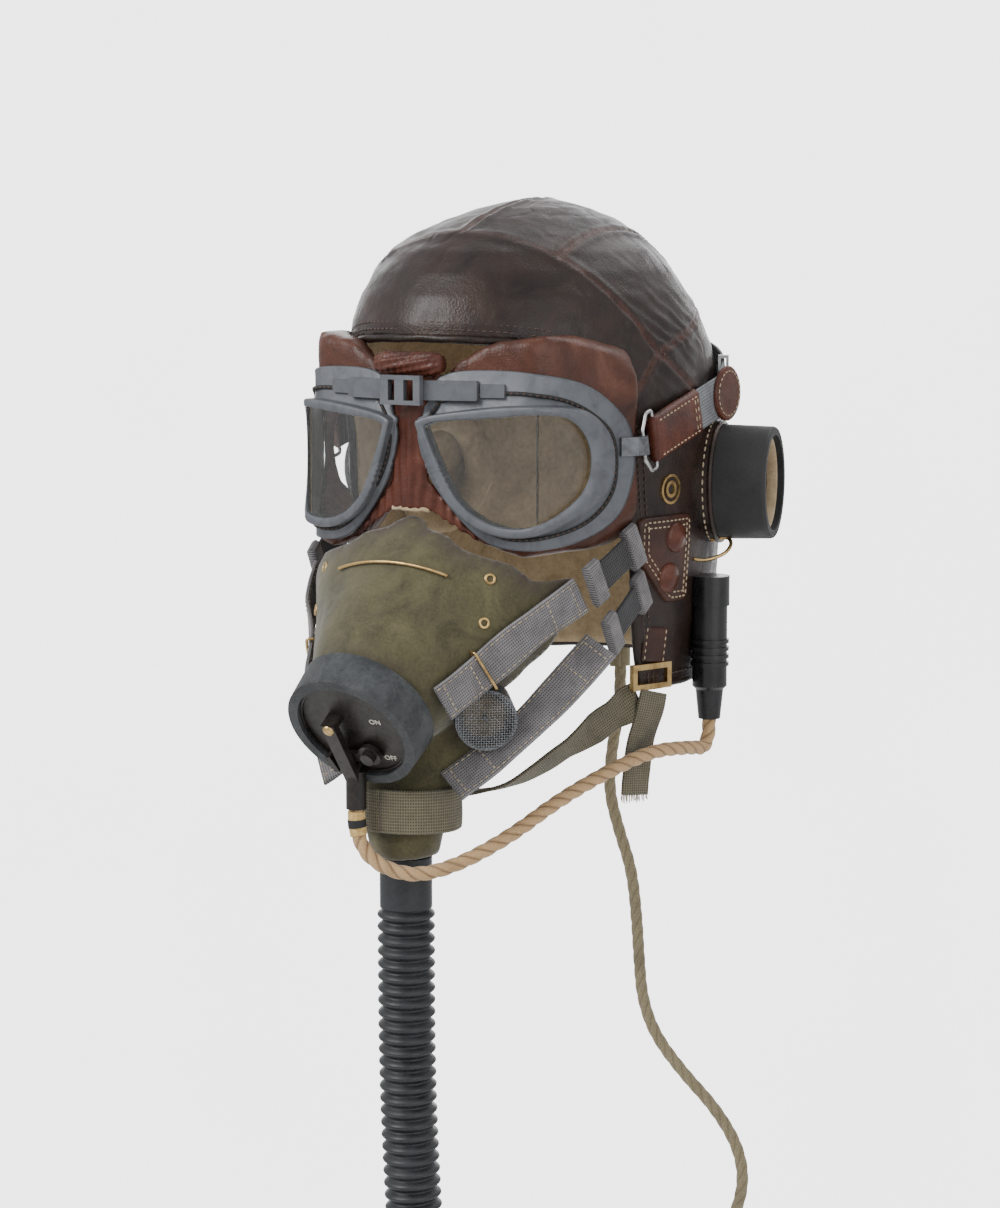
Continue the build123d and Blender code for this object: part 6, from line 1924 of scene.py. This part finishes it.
def dress_web_boxes():
    """Sewn rows across each web, where it folds back at its ends."""
    lines = []
    half = WEB_WIDTH / 2 - BOX_EDGE
    for rows in [UPPER_WEB, LOWER_WEB]:
        path, across, normal, way = strap_course(rows, SEAM_STEP)
        normal = normal * (1 if normal[0][0] > 0 else -1)
        for far in BOX_STITCHES:
            at = int(np.argmin(np.abs(way - far % way[-1])))
            wide = np.linspace(-half, half, 24)[:, None]
            lines += both_sides(path[at] + across[at] * wide + normal[at] * WEB_THICK / 2, normal[at])
    stitches("web_boxes", lines)


def dress_chin():
    add_strap("chin_strap_webbing", CHIN_STRAP, CHIN_STRAP_WIDTH, CHIN_STRAP_THICK, OLIVE_WEB, ["chin_strap"],
              both=False)
    tail = [(spot, FLAP_SIDE) for spot in TAIL]
    add_strap("strap_end_webbing", tail, CHIN_STRAP_WIDTH, CHIN_STRAP_THICK, OLIVE_WEB, ["strap_tail"],
              both=False, rippled=TAIL_RIPPLE)
    dress_fray()
    keeper = [(spot, FLAP_SIDE) for spot in KEEPER]
    add_strap("keeper_leather", keeper, KEEPER_WIDTH, KEEPER_THICK, ("brown_leather", "brown_leather"),
              ["chin_keepers"])
    stitches("keeper_stitches", strap_edges(keeper, KEEPER_WIDTH, KEEPER_THICK, KEEPER_STITCH_IN))
    middle = np.array((0, SPOUT_TOP[2], CHIN_BAND_Z))
    band = circle(middle, (0, -CHIN_BAND_HALF_Y, 0), (CHIN_BAND_HALF_X, 0, 0), 1, turns(49, closed=True))
    add_strap("chin_band_webbing", [(spot, (0, 0, 1)) for spot in band], CHIN_BAND_HEIGHT, WEB_THICK, OLIVE_WEB,
              ["chin_webbing"], both=False, rippled=CHIN_BAND_RIPPLE)


def dress_anchor():
    """On the wearer's right the chin strap is sewn up inside the keeper."""
    rows = [(spot, FLAP_SIDE * FLIP) for spot in STRAP_ANCHOR]
    add_strap("strap_anchor", rows, STRAP_ANCHOR_WIDTH, CHIN_STRAP_THICK, OLIVE_WEB, both=False)


def dress_fray():
    """Loose threads at the cut end of the chin strap."""
    down = np.array((0, 0, -1.0))
    threads = []
    for index in range(FRAY_COUNT):
        share = (index + 0.5) / FRAY_COUNT - 0.5
        start = np.array(TAIL[-1]) + unit(FLAP_SIDE) * share * CHIN_STRAP_WIDTH
        drift = np.array(noise.noise_vector(Vector((index * 1.7, 2.0, 5.0)))) * FRAY_DRIFT
        reach = FRAY_LENGTH + FRAY_MORE * abs(noise.noise(Vector((index * 2.3, 0, 0))))
        tip = start + drift * (1, 1, 0) + down * reach
        bend = (start + tip) / 2 + (drift[2] / 2, 0, 0)
        threads.append(sweep(smooth_path([start - down * FRAY_TUCK, bend, tip], CURVE_STEP), FRAY_RADIUS, 5))
    verts, faces = joined(threads)
    add_mesh("strap_fray", verts, faces, "tan_thread", "helmet", "olive_web")


# Studio

def set_lights():
    """An even pale sky and three soft lights."""
    world = bpy.data.worlds.new("studio")
    world.use_nodes = True
    sky = world.node_tree.nodes["Background"].inputs
    sky["Color"].default_value = SKY_COLOUR
    sky["Strength"].default_value = SKY_STRENGTH
    bpy.context.scene.world = world
    for name, (place, aim, size, power) in LIGHTS_M.items():
        light = bpy.data.lights.new(name, "AREA")
        light.size = size
        light.energy = power
        lamp = new_object(name, light)
        lamp.location = place
        lamp.rotation_euler = (Vector(aim) - Vector(place)).to_track_quat("-Z", "Y").to_euler()


def set_floor(low):
    spots = circle(np.array((0, 0, low)), (1, 0, 0), (0, 1, 0), FLOOR_RADIUS_M, turns(96))
    floor = new_object("floor", new_mesh("floor", spots, [tuple(range(96))]))
    s = Shader("pale_floor", Roughness=0.9)
    s.paint("Base Color", s.ramp(s.noise(3, 2), [(0.3, (0.84, 0.84, 0.83)), (0.7, (0.88, 0.88, 0.87))]))
    floor.data.materials.append(s.material)


def set_backdrop():
    """A lit white sheet behind the piece."""
    turn = math.radians(CAMERA_TURN_DEG)
    behind = np.array([-math.sin(turn), math.cos(turn), 0]) * BACKDROP_REACH_M
    across = np.array([math.cos(turn), math.sin(turn), 0]) * BACKDROP_HALF_M
    tall = np.array([0, 0, BACKDROP_HALF_M])
    corners = [behind + across * x + tall * z for x, z in [(-1, -1), (1, -1), (1, 1), (-1, 1)]]
    sheet = new_object("backdrop", new_mesh("backdrop", corners, [(0, 1, 2, 3)]))
    s = Shader("white_sheet", Roughness=1.0, Emission_Strength=SHEET_STRENGTH)
    s.paint("Base Color", s.ramp(s.noise(2, 2), [(0.3, (0.84, 0.84, 0.84)), (0.7, (0.88, 0.88, 0.88))]))
    s.paint("Emission Color", s.ramp(s.noise(1.5, 2), [(0.3, (0.95, 0.95, 0.96)), (0.7, (1.0, 0.99, 0.98))]))
    sheet.data.materials.append(s.material)


def set_camera():
    """The camera's place comes from the photograph, and it is turned so that the origin falls where it should."""
    turn, rise = math.radians(CAMERA_TURN_DEG), math.radians(CAMERA_RISE_DEG)
    back = Vector((math.sin(turn) * math.cos(rise), -math.cos(turn) * math.cos(rise), math.sin(rise)))
    right = Vector((math.cos(turn), math.sin(turn), 0))
    up = back.cross(right)
    aim = -back * CAMERA_FOCAL_PX
    aim += right * (IMAGE_WIDTH / 2 - ORIGIN_PX[0]) - up * (IMAGE_HEIGHT / 2 - ORIGIN_PX[1])
    camera = bpy.data.cameras.new("camera")
    camera.sensor_width = SENSOR_WIDTH
    camera.lens = CAMERA_FOCAL_PX / IMAGE_HEIGHT * SENSOR_WIDTH
    holder = new_object("camera", camera)
    holder.location = back * CAMERA_DISTANCE_M
    forward = aim.normalized()
    across = forward.cross(up).normalized()
    holder.rotation_euler = Matrix([across, across.cross(forward), -forward]).transposed().to_euler()
    bpy.context.scene.camera = holder


# The whole helmet

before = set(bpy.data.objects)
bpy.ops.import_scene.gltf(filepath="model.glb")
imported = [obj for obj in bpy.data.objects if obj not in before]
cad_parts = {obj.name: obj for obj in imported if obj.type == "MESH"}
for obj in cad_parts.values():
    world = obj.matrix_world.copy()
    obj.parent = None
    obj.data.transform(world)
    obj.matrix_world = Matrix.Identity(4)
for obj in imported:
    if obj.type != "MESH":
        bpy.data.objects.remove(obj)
cad_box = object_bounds()
paint = make_materials()
paint_nodes()
dress_leather()
dress_binding()
dress_helmet_stitches()
dress_lining()
dress_tabs()
dress_ears()
dress_ear_pads()
dress_goggles()
dress_apron()
dress_frames()
dress_strap()
dress_mask()
dress_eyelets()
dress_mic()
dress_exhaust()
dress_keeper_wires()
dress_hose()
dress_cords()
dress_webbing()
dress_web_boxes()
dress_anchor()
dress_ear_loop()
set_floor(cad_box[0].z)
set_backdrop()
set_lights()
set_camera()
